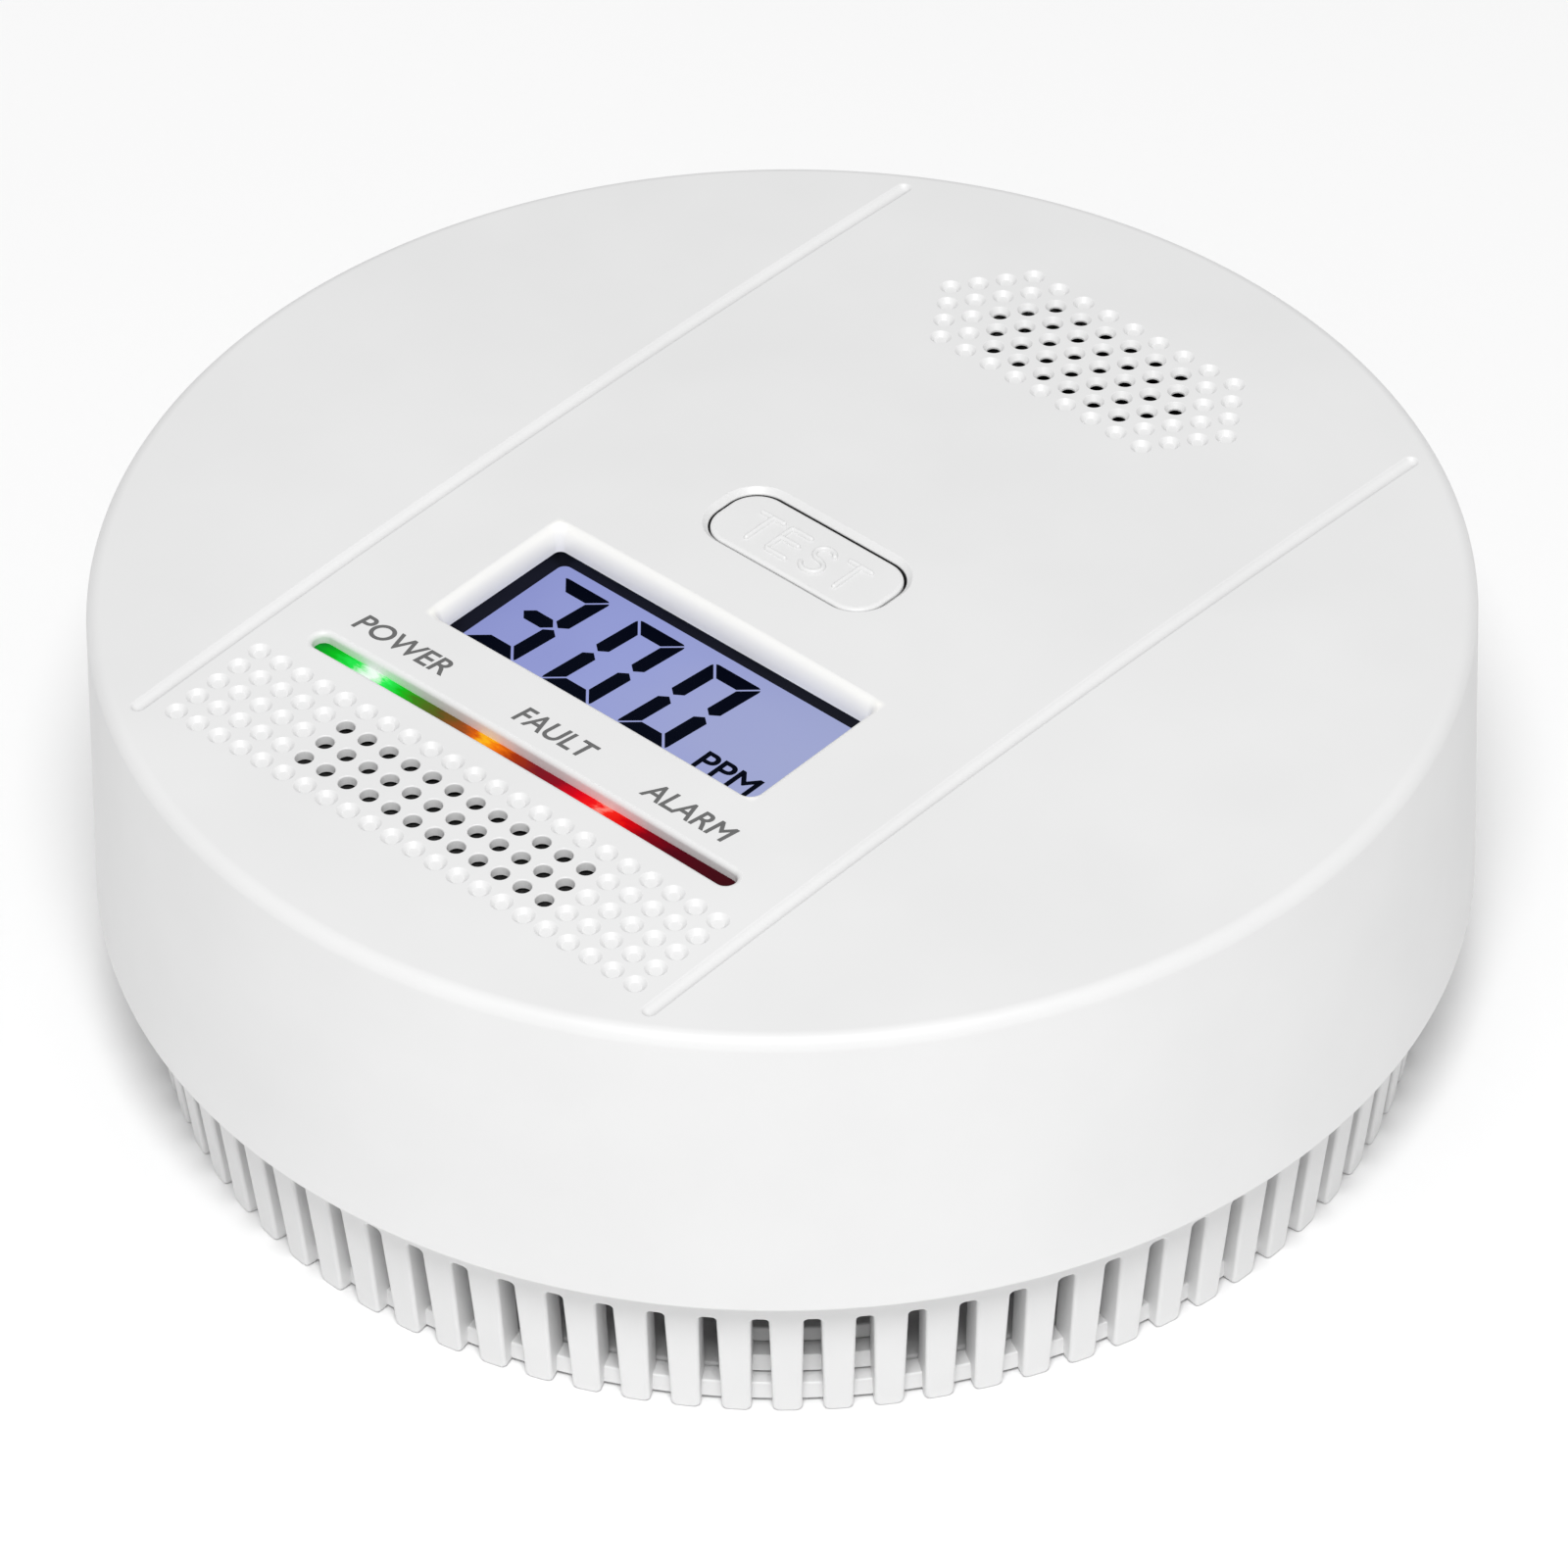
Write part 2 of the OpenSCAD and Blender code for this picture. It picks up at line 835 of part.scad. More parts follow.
// Conical coil spring: a round wire swept along a tapering helix
module coil_spring(turns, length, r_wide, r_narrow, wire_r) {
    steps = 12;
    sides = 6;
    rings = turns * steps;
    function centre_r(i) = r_wide + (r_narrow - r_wide) * i / rings;
    points = [for (i = [0:rings], k = [0:sides - 1])
        let (
            a = i * 360 / steps,
            b = k * 360 / sides,
            r = centre_r(i) + wire_r * cos(b)
        )
        [r * cos(a), r * sin(a), wire_r + (length - 2 * wire_r) * i / rings + wire_r * sin(b)]];
    sides_faces = [for (i = [0:rings - 1], k = [0:sides - 1])
        [i * sides + k, i * sides + (k + 1) % sides,
         (i + 1) * sides + (k + 1) % sides, (i + 1) * sides + k]];
    first_face = [[for (k = [sides - 1:-1:0]) k]];
    last_face = [[for (k = [0:sides - 1]) rings * sides + k]];
    polyhedron(points, concat(sides_faces, first_face, last_face), convexity = 6);
}

// A spring at each cell's negative end
module battery_springs() {
    gap = 2 * bay_x - contact_t - (bay_x - cell_tip) - cell_length;
    color("silver")
        for (row = [-1:1]) {
            side = row == 0 ? 1 : -1;
            translate([side * (bay_x - contact_t), row * cell_pitch, cell_z])
                rotate([0, -90 * side, 0])
                    coil_spring(4, gap - 0.05, 4, 2.2, 0.4);
        }
}

// ---------- every node ----------

mounting_plate();
rear_housing();
front_cover();
case_screws();
circuit_board();
board_screws();
display_frame();
display_glass();
display_backlight();
display_connectors();
light_bar();
led_green();
led_amber();
led_red();
test_button();
switch_body();
switch_stem();
co_sensor_body();
co_sensor_cap();
co_sensor_pins();
sensor_filter();
sounder_case();
sounder_lid();
sounder_disc();
sounder_ceramic();
sounder_gasket();
microcontroller();
driver_chip();
supply_capacitor();
boost_coil();
timing_crystal();
chip_resistors();
battery_upper();
battery_middle();
battery_lower();
battery_contacts();
battery_springs();
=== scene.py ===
"""Looks of a round battery carbon monoxide detector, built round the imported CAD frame.

Lengths are in millimetres in the CAD frame: the origin is the middle of the wall face and +Z points out
of the front face. They turn into metres where a mesh is made. Shader sizes are in metres.
"""
import json
import math

import bmesh
import bpy
import numpy as np
from mathutils import Matrix, Vector
from mathutils.geometry import delaunay_2d_cdt


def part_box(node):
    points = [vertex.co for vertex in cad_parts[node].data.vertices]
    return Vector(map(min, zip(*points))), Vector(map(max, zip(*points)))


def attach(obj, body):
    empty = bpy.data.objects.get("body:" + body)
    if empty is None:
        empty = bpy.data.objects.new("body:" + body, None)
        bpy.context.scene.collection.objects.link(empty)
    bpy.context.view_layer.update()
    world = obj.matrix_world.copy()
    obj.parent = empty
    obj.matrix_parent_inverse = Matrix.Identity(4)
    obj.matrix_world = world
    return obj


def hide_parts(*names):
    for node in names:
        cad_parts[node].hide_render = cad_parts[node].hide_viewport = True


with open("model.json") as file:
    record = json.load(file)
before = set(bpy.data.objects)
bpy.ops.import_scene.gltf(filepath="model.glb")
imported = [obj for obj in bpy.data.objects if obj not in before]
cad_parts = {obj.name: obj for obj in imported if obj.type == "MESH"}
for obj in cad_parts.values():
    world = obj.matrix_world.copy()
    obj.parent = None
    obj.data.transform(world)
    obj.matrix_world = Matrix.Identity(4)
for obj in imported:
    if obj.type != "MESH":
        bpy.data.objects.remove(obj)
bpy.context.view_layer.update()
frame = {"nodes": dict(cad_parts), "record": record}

MM = 0.001


def box_mm(node):
    """Lowest and highest corner of a CAD node, in millimetres."""
    low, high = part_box(node)
    return np.array(low) / MM, np.array(high) / MM


# ---------- driving sizes ----------

COVER_BOX = box_mm("front_cover")
PLATE_BOX = box_mm("mounting_plate")
FRAME_BOX = box_mm("display_frame")
GLASS_BOX = box_mm("display_glass")
BAR_BOX = box_mm("light_bar")
BUTTON_BOX = box_mm("test_button")

TOTAL_H = COVER_BOX[1][2]
WALL_FOOT_R = COVER_BOX[1][0]
FRAME_TOP = FRAME_BOX[1][2]
GLASS_TOP = GLASS_BOX[1][2]
BAR_TOP = BAR_BOX[1][2]

COVER_R = 52.0
DOME_RISE = 1.4
RIM_R = 1.2
COVER_DRAFT = math.radians(0.93)
COVER_WALL = 2.0
SEAM_Z = 13.75
DOME_R = (COVER_R ** 2 + DOME_RISE ** 2) / (2 * DOME_RISE)
DOME_C = TOTAL_H - DOME_R
HOUSING_TOP = SEAM_Z - 0.15
DECK_Z = HOUSING_TOP - 1.5

GROOVE_X = 25.75
GROOVE_HALF = 42.3
GROOVE_HALF_W = 0.52
SENSOR_PITCH = 2.2
SENSOR_Y = -36.55
SENSOR_HOLE_R = 0.7
SENSOR_DIMPLE_R = 0.88
SOUNDER_PITCH = 2.54
SOUNDER_ROW = 1.8
SOUNDER_X = -0.2
SOUNDER_Y = 34.8
SOUNDER_HOLE_R = 0.52
SOUNDER_DIMPLE_R = 0.83
DIMPLE_BLEND = 0.09
GRILLE_WALL = 0.8
SOUNDER_WALL = 0.6
CASE_SCREW_X = 35
CASE_SCREW_Y = 25
BOARD_SCREW_X = 38.5
BOARD_SCREW_Y = 7

DISPLAY_X, DISPLAY_Y = (FRAME_BOX[0][:2] + FRAME_BOX[1][:2]) / 2
DISPLAY_W = 31.6
DISPLAY_H = 13.2
DISPLAY_CORNER = 0.6
DISPLAY_FLARE = 0.85
BAR_Y = (BAR_BOX[0][1] + BAR_BOX[1][1]) / 2
BAR_W = 42.2
BAR_H = 1.65
BAR_EDGE = 0.45
BAR_LIP_TOP = BAR_TOP - 1.45
LED_X = (-15.4, -3.9, 7.8)
BUTTON_X, BUTTON_Y = (BUTTON_BOX[0][:2] + BUTTON_BOX[1][:2]) / 2
BUTTON_W = 16.95
BUTTON_H = 6.9
BUTTON_CORNER = 2.75
BUTTON_GAP = 0.2
BUTTON_BEVEL = 0.43
BUTTON_DROP = 0.28
BUTTON_SETTLE = 0.05

VENT_COUNT = 80
VENT_PHASE = math.radians(-0.36)
RIB_FOOT_R = 48.14
RIB_SLOPE = 0.125
RIB_DEPTH = 2.6
SLOT_TOP_HALF = 0.635
SLOT_LOW_HALF = 0.785
SLOT_TOP_Z = 10.2
PLATE_T = 1.8
PLATE_R = PLATE_BOX[1][0]
HOOK_ANGLES = (45, 135, 225, 315)
HOOK_HALF_ANGLE = 7
HOOK_R = 41.4
HOOK_TIP_R = 45
HOOK_TOP = 5.5
LEDGE_R = (47.2, 49.2)
BAY_W = 60
BAY_H = 48.4
BAY_WALL = 1.5
BAY_FOOT = 2.3
BAY_TOP = 18.8

CIRCLE_STEPS = 28
WIDE_STEPS = 320


# ---------- surfaces that shapes are laid on ----------
# Each takes flat coordinates and a depth below the surface, and gives the points and three unit axes.

def unit(v):
    return v / np.linalg.norm(v, axis=-1, keepdims=True)


def dome(u, v, depth=0.0):
    """The domed face."""
    top = dome_top(u, v)
    points = np.stack([u, v, top - depth], -1)
    normal = unit(np.stack([u, v, top - DOME_C], -1))
    across = unit(np.stack([normal[:, 2], 0 * u, -normal[:, 0]], -1))
    return points, normal, across, np.cross(normal, across)


def dome_top(u, v):
    return DOME_C + np.sqrt(DOME_R ** 2 - u * u - v * v)


def flat(level, up=1):
    """A level plane, seen from above (up 1) or from below (up -1)."""
    def place(u, v, depth=0.0):
        nil = 0 * u
        points = np.stack([u, v, nil + level - up * depth], -1)
        normal = np.stack([nil, nil, nil + up], -1)
        across = np.stack([nil + 1, nil, nil], -1)
        along = np.stack([nil, nil + 1, nil], -1)
        return points, normal, across, along
    return place


def rib_cone(u, v, depth=0.0):
    """The sloping outside of the ribs: u runs round the foot circle and v is the height."""
    turn = u / RIB_FOOT_R + VENT_PHASE
    radius = RIB_FOOT_R + RIB_SLOPE * v - depth
    points = np.stack([radius * np.cos(turn), radius * np.sin(turn), v], -1)
    normal = unit(np.stack([np.cos(turn), np.sin(turn), 0 * u - RIB_SLOPE], -1))
    across = np.stack([-np.sin(turn), np.cos(turn), 0 * u], -1)
    return points, normal, across, np.cross(normal, across)


# ---------- outlines ----------
# An outline is a counterclockwise ring of flat points and the unit directions that point away from the
# material: into a hole, or out of a boss.

def arc(cx, cy, r, start, end, steps):
    angles = np.radians(np.linspace(start, end, steps + 1))
    rays = np.stack([np.cos(angles), np.sin(angles)], -1)
    return np.array([cx, cy]) + r * rays, rays


def hole(outline):
    """The same outline with the material outside it."""
    return outline[0], -outline[1]


def circle(cx, cy, r, steps=CIRCLE_STEPS):
    points, rays = arc(cx, cy, r, 0, 360, steps)
    return points[:-1], rays[:-1]


def split_sides(points, rays, longest):
    """Adds points along the straight sides, so that none is longer than the given length."""
    out_points, out_rays = [], []
    for i in range(len(points)):
        j = (i + 1) % len(points)
        count = max(1, math.ceil(np.linalg.norm(points[j] - points[i]) / longest))
        for k in range(count):
            out_points.append(points[i] + (points[j] - points[i]) * k / count)
            mixed = rays[i] + (rays[j] - rays[i]) * k / count
            out_rays.append(mixed / np.linalg.norm(mixed))
    return np.array(out_points), np.array(out_rays)


def rounded_rect(cx, cy, w, h, r, steps=8, longest=2.5):
    corners = [(1, 1, 0), (-1, 1, 90), (-1, -1, 180), (1, -1, 270)]
    parts = [arc(cx + sx * (w / 2 - r), cy + sy * (h / 2 - r), r, a, a + 90, steps) for sx, sy, a in corners]
    points = np.concatenate([p for p, _ in parts])
    rays = np.concatenate([q for _, q in parts])
    return split_sides(points, rays, longest)


def stroke(path, half_w, end_steps=8, longest=1.0):
    """Outline of a round-ended line along an open path."""
    path = np.asarray(path, float)
    tangents = unit(np.gradient(path, axis=0))
    if len(path) == 2:
        tangents = unit(np.array([path[1] - path[0]] * 2))
    lefts = np.stack([-tangents[:, 1], tangents[:, 0]], -1)
    rights = -lefts[::-1]
    last = math.degrees(math.atan2(tangents[-1][1], tangents[-1][0]))
    first = math.degrees(math.atan2(tangents[0][1], tangents[0][0]))
    end_points, end_rays = arc(path[-1][0], path[-1][1], half_w, last - 90, last + 90, end_steps)
    start_points, start_rays = arc(path[0][0], path[0][1], half_w, first + 90, first + 270, end_steps)
    points = np.concatenate([path - lefts * half_w, end_points[1:-1],
                             path[::-1] - rights * half_w, start_points[1:-1]])
    rays = np.concatenate([-lefts, end_rays[1:-1], -rights, start_rays[1:-1]])
    return split_sides(points, rays, longest)


def annular_sector(r_in, r_out, angle, half, steps=12):
    """Outline of a sector of a ring, with sharp corners."""
    outer, outer_rays = arc(0, 0, r_out, angle - half, angle + half, steps)
    inner, inner_rays = arc(0, 0, r_in, angle + half, angle - half, steps)
    return np.concatenate([outer, inner]), np.concatenate([outer_rays, -inner_rays])


# ---------- edge profiles ----------
# A profile is a list of (offset away from the material, depth below the surface, tilt of the normal).

def edge(across, down, steps=5, depth=0.0):
    """Quarter ellipse that rounds an edge, ending at the outline itself."""
    made = []
    for t in np.radians(np.linspace(0, 90, steps + 1)):
        tilt = math.atan2(down * math.sin(t), across * math.cos(t))
        made.append((across * (math.sin(t) - 1), depth + down * (1 - math.cos(t)), tilt))
    return made


def bevel(across, down, blend, steps=3):
    """Straight chamfer with blended edges, ending at the outline itself."""
    slope = math.atan2(down, across)
    upper = blend * math.tan(slope / 2)
    lower = blend * math.tan((math.pi / 2 - slope) / 2)
    made = [(-across - upper + blend * math.sin(t), blend * (1 - math.cos(t)), t)
            for t in np.linspace(0, slope, steps + 1)]
    made += [(blend * (math.sin(t) - 1), down + lower - blend * math.cos(t), t)
             for t in np.linspace(slope, math.pi / 2, steps + 1)]
    return made


def dish(radius, floor_r, depth, blend, steps=4):
    """Flat-floored hollow with a sloping wall, starting at the outline itself."""
    slope = math.atan2(depth, radius - floor_r)
    cut = blend * math.tan(slope / 2)
    made = [(blend * math.sin(t) - cut, blend * (1 - math.cos(t)), t)
            for t in np.linspace(0, slope, steps + 1)]
    made += [(radius - floor_r + cut - blend * math.sin(t), depth - blend * (1 - math.cos(t)), t)
             for t in np.linspace(slope, 0, steps + 1)]
    return made + [(radius - floor_r * 0.4, depth, 0.0), (radius, depth, 0.0)]


def bowl(radius, edge_angle, lip, steps=7):
    """Round-bottomed hollow of the given radius, with a soft lip round it."""
    ball = radius / math.sin(edge_angle)
    lip_depth = lip * (1 - math.cos(edge_angle))
    made = [(lip * (math.sin(t) - math.sin(edge_angle)), lip * (1 - math.cos(t)), t)
            for t in np.linspace(0, edge_angle, 4)]
    for t in np.linspace(edge_angle, 0, steps + 1)[1:]:
        depth = lip_depth + ball * (math.cos(t) - math.cos(edge_angle))
        made.append((radius - ball * math.sin(t), depth, t))
    return made


# ---------- mesh builder ----------

class Skin:
    """Collects rings of vertices with exact normals, joins them with faces, and welds them."""

    def __init__(self):
        self.points = []
        self.normals = []
        self.faces = []
        self.count = 0

    def add(self, points, normals):
        self.points.append(np.asarray(points, float))
        self.normals.append(np.asarray(normals, float))
        self.count += len(points)
        return list(range(self.count - len(points), self.count))

    def ring(self, surface, outline, offset=0.0, depth=0.0, tilt=0.0, level=None):
        """One ring of vertices beside an outline: its indices and its flat points."""
        flat_points = outline[0] + outline[1] * offset
        if level is not None:
            depth = dome_top(flat_points[:, 0], flat_points[:, 1]) - level
        points, normal, across, along = surface(flat_points[:, 0], flat_points[:, 1], depth)
        away = outline[1][:, :1] * across + outline[1][:, 1:] * along
        return self.add(points, math.cos(tilt) * normal + math.sin(tilt) * away), flat_points

    def bridge(self, a, b, closed=True):
        """Quads between two rings of the same number of vertices."""
        n = len(a)
        for i in range(n if closed else n - 1):
            j = (i + 1) % n
            self.faces.append((a[i], a[j], b[j], b[i]))

    def sweep(self, surface, outline, profile):
        """Carries an outline along an edge profile, and gives its first and last rings."""
        rings = [self.ring(surface, outline, *step) for step in profile]
        for a, b in zip(rings, rings[1:]):
            self.bridge(a[0], b[0])
        return rings[0], rings[-1]

    def join(self, a, b):
        self.bridge(a[0], b[0])
        return b

    def fill(self, surface, outer, holes=(), spots=None, depth=0.0):
        """Covers the area inside an outer ring and outside the holes, which are convex."""
        rings = [outer, *holes]
        flat_points = [r[1] for r in rings]
        indices = [i for r in rings for i in r[0]]
        group = np.concatenate([np.full(len(r[0]), k) for k, r in enumerate(rings)])
        if spots is not None and len(spots):
            points, normal, _, _ = surface(spots[:, 0], spots[:, 1], depth)
            indices += self.add(points, normal)
            flat_points.append(spots)
            group = np.concatenate([group, np.full(len(spots), -1)])
        flat_points = np.concatenate(flat_points)
        edges = []
        first = 0
        for r in rings:
            n = len(r[0])
            edges += [(first + i, first + (i + 1) % n) for i in range(n)]
            first += n
        made = delaunay_2d_cdt([Vector(p) for p in flat_points], edges, [], 0, 1e-7)
        origin = [o[0] for o in made[3]]
        for face in made[2]:
            corners = [origin[i] for i in face]
            groups = {int(group[c]) for c in corners}
            if len(groups) == 1 and min(groups) > 0:
                continue
            if groups == {0} and not inside(outer[1], flat_points[corners].mean(0)):
                continue
            self.faces.append(tuple(indices[c] for c in corners))

    def build(self, name, smooth=True):
        """Welds what coincides, turns every shell the right way out, and keeps the exact normals."""
        points = np.concatenate(self.points)
        normals = unit(np.concatenate(self.normals))
        rounded = np.round(points, 5)
        _, first, inverse = np.unique(rounded, axis=0, return_index=True, return_inverse=True)
        inverse = inverse.ravel()
        faces = []
        for face in self.faces:
            welded = [inverse[i] for i in face]
            kept = [w for k, w in enumerate(welded) if w != welded[k - 1]]
            if len(set(kept)) == len(kept) > 2:
                faces.append([int(w) for w in kept])
        mesh = bpy.data.meshes.new(name)
        mesh.from_pydata((points[first] * MM).tolist(), [], faces)
        work = bmesh.new()
        work.from_mesh(mesh)
        bmesh.ops.recalc_face_normals(work, faces=work.faces)
        work.to_mesh(mesh)
        work.free()
        mesh.polygons.foreach_set("use_smooth", [smooth] * len(mesh.polygons))
        if smooth:
            mesh.normals_split_custom_set_from_vertices(normals[first].tolist())
        return link(name, mesh)


def inside(polygon, point):
    x, y = point
    px, py = polygon[:, 0], polygon[:, 1]
    qx, qy = np.roll(px, -1), np.roll(py, -1)
    crossing = (py > y) != (qy > y)
    with np.errstate(divide="ignore", invalid="ignore"):
        at = px + (y - py) * (qx - px) / (qy - py)
    return int(np.sum(crossing & (x < at))) % 2 == 1


def link(name, mesh):
    piece = bpy.data.objects.new(name, mesh)
    bpy.context.scene.collection.objects.link(piece)
    return piece


def lathe(skin, profile, cx=0.0, cy=0.0, steps=48, closed=True):
    """Turns a half section of (radius, height, normal outward, normal up) about a vertical axis."""
    rings = []
    angles = np.linspace(0, 2 * math.pi, steps, endpoint=False)
    rays = np.stack([np.cos(angles), np.sin(angles)], -1)
    for r, z, n_out, n_up in profile:
        flat_points = np.array([cx, cy]) + r * rays
        points = np.column_stack([flat_points, np.full(steps, z)])
        normals = np.column_stack([rays * n_out, np.full(steps, n_up)])
        rings.append((skin.add(points, normals), flat_points))
    for a, b in zip(rings, rings[1:]):
        skin.bridge(a[0], b[0])
    if closed:
        skin.bridge(rings[-1][0], rings[0][0])
    return rings


def add_rod(skin, x, y, radius, low, high, steps):
    section = [(0, high, 0, 1), (radius, high, 1, 0), (radius, low, 0, -1), (0, low, 0, -1)]
    lathe(skin, section, x, y, steps, closed=False)


def round_corner(r, z, radius, start, end, steps=5):
    """Lathe points round a corner: angles from straight up (0) to outward (90) and down (180)."""
    turns = np.radians(np.linspace(start, end, steps + 1))
    return [(r + radius * math.sin(t), z + radius * math.cos(t), math.sin(t), math.cos(t)) for t in turns]


def slab(skin, outline, low, high, soft=0.2, holes=(), steps=3):
    """Plate between two heights with rounded edges. Its holes are outlines turned by hole()."""
    middle = (high - low) / 2
    tops, bottoms = [], []
    for shape in [outline, *holes]:
        up, down = flat(high), flat(low, -1)
        top, upper = skin.sweep(up, shape, edge(soft, soft, steps) + [(0, middle, math.pi / 2)])
        bottom, lower = skin.sweep(down, shape, edge(soft, soft, steps) + [(0, middle, math.pi / 2)])
        skin.bridge(upper[0], lower[0])
        tops.append(top)
        bottoms.append(bottom)
    skin.fill(flat(high), tops[0], tops[1:])
    skin.fill(flat(low, -1), bottoms[0], bottoms[1:])


def polar_spots(r_max, step, rings, clearance=0.9):
    """Points spread over a disc, clear of every vertex of the given rings."""
    taken = np.concatenate([r[1] for r in rings])
    boxes = [(r[1].min(0) - 0.5, r[1].max(0) + 0.5) for r in rings]
    spots = []
    for k in range(1, int(r_max / step) + 1):
        radius = k * step
        count = int(2 * math.pi * radius / step)
        for a in np.linspace(0, 2 * math.pi, count, endpoint=False) + k:
            spot = np.array([radius * math.cos(a), radius * math.sin(a)])
            blocked = any((spot > low).all() and (spot < high).all() for low, high in boxes)
            if not blocked and np.linalg.norm(taken - spot, axis=1).min() > clearance:
                spots.append(spot)
    return np.array(spots)


# ---------- front cover ----------

def sensor_places():
    """Places of the sensor grille, and whether each is an open hole."""
    for row in range(-2, 3):
        for column in range(22):
            across = column - 10.5
            yield across * SENSOR_PITCH, SENSOR_Y + row * SENSOR_PITCH, abs(row) < 2 and abs(across) < 6


def sounder_places():
    """Places of the sounder grille, and whether each is open in its middle."""
    for row in range(-3, 4):
        count = 12 - abs(row)
        for column in range(count):
            across = column - (count - 1) / 2
            open_hole = abs(row) < 3 and abs(across) < (8 - abs(row)) / 2
            yield SOUNDER_X + across * SOUNDER_PITCH, SOUNDER_Y + row * SOUNDER_ROW, open_hole


def rim_tangent_r():
    centre = COVER_R - RIM_R
    return centre * DOME_R / (DOME_R - RIM_R)


def cover_wall_section():
    """Half section of the rim, the side wall and its lip, from the dome to the underside."""
    centre_r = COVER_R - RIM_R
    centre_z = DOME_C + math.sqrt((DOME_R - RIM_R) ** 2 - centre_r ** 2)
    start = math.degrees(math.asin(centre_r / (DOME_R - RIM_R)))
    draft = math.degrees(COVER_DRAFT)
    lip = 0.3
    foot_r = WALL_FOOT_R - lip * math.tan(COVER_DRAFT) - lip / math.cos(COVER_DRAFT)
    inner_r = WALL_FOOT_R - COVER_WALL
    section = round_corner(centre_r, centre_z, RIM_R, start, 90 - draft, 8)
    wall_n = (math.cos(COVER_DRAFT), math.sin(COVER_DRAFT))
    top_r, top_z = section[-1][:2]
    for share in (0.25, 0.5, 0.75):
        z = top_z + (SEAM_Z + lip - top_z) * share
        section.append((top_r + (top_z - z) * math.tan(COVER_DRAFT), z, *wall_n))
    section += round_corner(foot_r, SEAM_Z + lip, lip, 90 - draft, 180, 5)
    section += round_corner(inner_r + lip, SEAM_Z + lip, lip, 180, 270, 5)
    return section


def add_cover_wall(skin):
    """Rim, side wall and inner wall, and the two rings that the face and the underside start from."""
    outer = lathe(skin, cover_wall_section(), steps=WIDE_STEPS, closed=False)
    inner = hole(circle(0, 0, COVER_R - COVER_WALL - 0.1, WIDE_STEPS))
    under = skin.ring(dome, inner, 0, COVER_WALL, math.pi)
    skin.bridge(outer[-1][0], under[0])
    return outer[0], under


def add_groove(skin, x):
    outline = hole(stroke([(x, -GROOVE_HALF), (x, GROOVE_HALF)], GROOVE_HALF_W, longest=3.0))
    return skin.sweep(dome, outline, bowl(GROOVE_HALF_W, math.radians(50), 0.22))[0]


def add_sensor_grille(skin):
    tops, bottoms = [], []
    dimple = dish(SENSOR_DIMPLE_R, 0.5, 0.36, DIMPLE_BLEND)
    through = edge(0.12, 0.12, 4)
    through += [(0, GRILLE_WALL - 0.1, math.pi / 2), (0, GRILLE_WALL, math.pi / 2)]
    for x, y, is_open in sensor_places():
        if is_open:
            top, bottom = skin.sweep(dome, hole(circle(x, y, SENSOR_HOLE_R)), through)
            bottoms.append(bottom)
        else:
            top, _ = skin.sweep(dome, hole(circle(x, y, SENSOR_DIMPLE_R)), dimple)
        tops.append(top)
    return tops, bottoms


def add_sounder_grille(skin):
    tops, bottoms = [], []
    dimple = dish(SOUNDER_DIMPLE_R, 0.46, 0.38, DIMPLE_BLEND)
    across = SOUNDER_DIMPLE_R - SOUNDER_HOLE_R
    funnel = [(step + across, depth, tilt) for step, depth, tilt in bevel(across, 0.45, 0.06)]
    funnel.append((across, SOUNDER_WALL, math.pi / 2))
    for x, y, is_open in sounder_places():
        outline = hole(circle(x, y, SOUNDER_DIMPLE_R))
        top, bottom = skin.sweep(dome, outline, funnel if is_open else dimple)
        tops.append(top)
        if is_open:
            bottoms.append(bottom)
    return tops, bottoms


def add_window(skin):
    """Display opening: walls that curve in to the black frame, and a collar below the face."""
    outline = hole(rounded_rect(DISPLAY_X, DISPLAY_Y, DISPLAY_W, DISPLAY_H, DISPLAY_CORNER))
    top, wall = skin.sweep(dome, outline, edge(DISPLAY_FLARE, 1.9, 12))
    foot = skin.join(wall, skin.ring(dome, outline, 0, 0, math.pi / 2, level=FRAME_TOP))
    collar = skin.join(foot, skin.ring(dome, outline, -1.2, 0, math.pi, level=FRAME_TOP))
    return top, skin.join(collar, skin.ring(dome, outline, -1.2, COVER_WALL, -math.pi / 2))


def add_opening(skin, outline, rim):
    """Opening straight through the face, with the given profile for its rim."""
    profile = rim + [(0, COVER_WALL * 0.7, math.pi / 2), (0, COVER_WALL, math.pi / 2)]
    return skin.sweep(dome, hole(outline), profile)


def add_pocket(skin, outline, thickness, holes):
    """Hollow under a grille, closed by a thin ceiling that the holes come through."""
    foot = skin.ring(dome, outline, 0, COVER_WALL, math.pi / 2)
    ceiling = skin.join(foot, skin.ring(dome, outline, 0, thickness, math.pi))
    skin.fill(dome, ceiling, holes)
    return foot


def add_post(skin, x, y, r_out, r_in, low, bore_top):
    """Screw post that hangs from the underside, with a blind bore."""
    high = float(dome_top(x, y)) - COVER_WALL / 2
    section = [(0, high, 0, 1), (r_out, high, 1, 0), (r_out, low + 0.2, 1, 0),
               (r_out - 0.2, low, 0, -1), (r_in + 0.2, low, 0, -1), (r_in, low + 0.2, -1, 0),
               (r_in, bore_top, -1, 0), (0, bore_top, 0, -1)]
    lathe(skin, section, x, y, steps=32, closed=False)


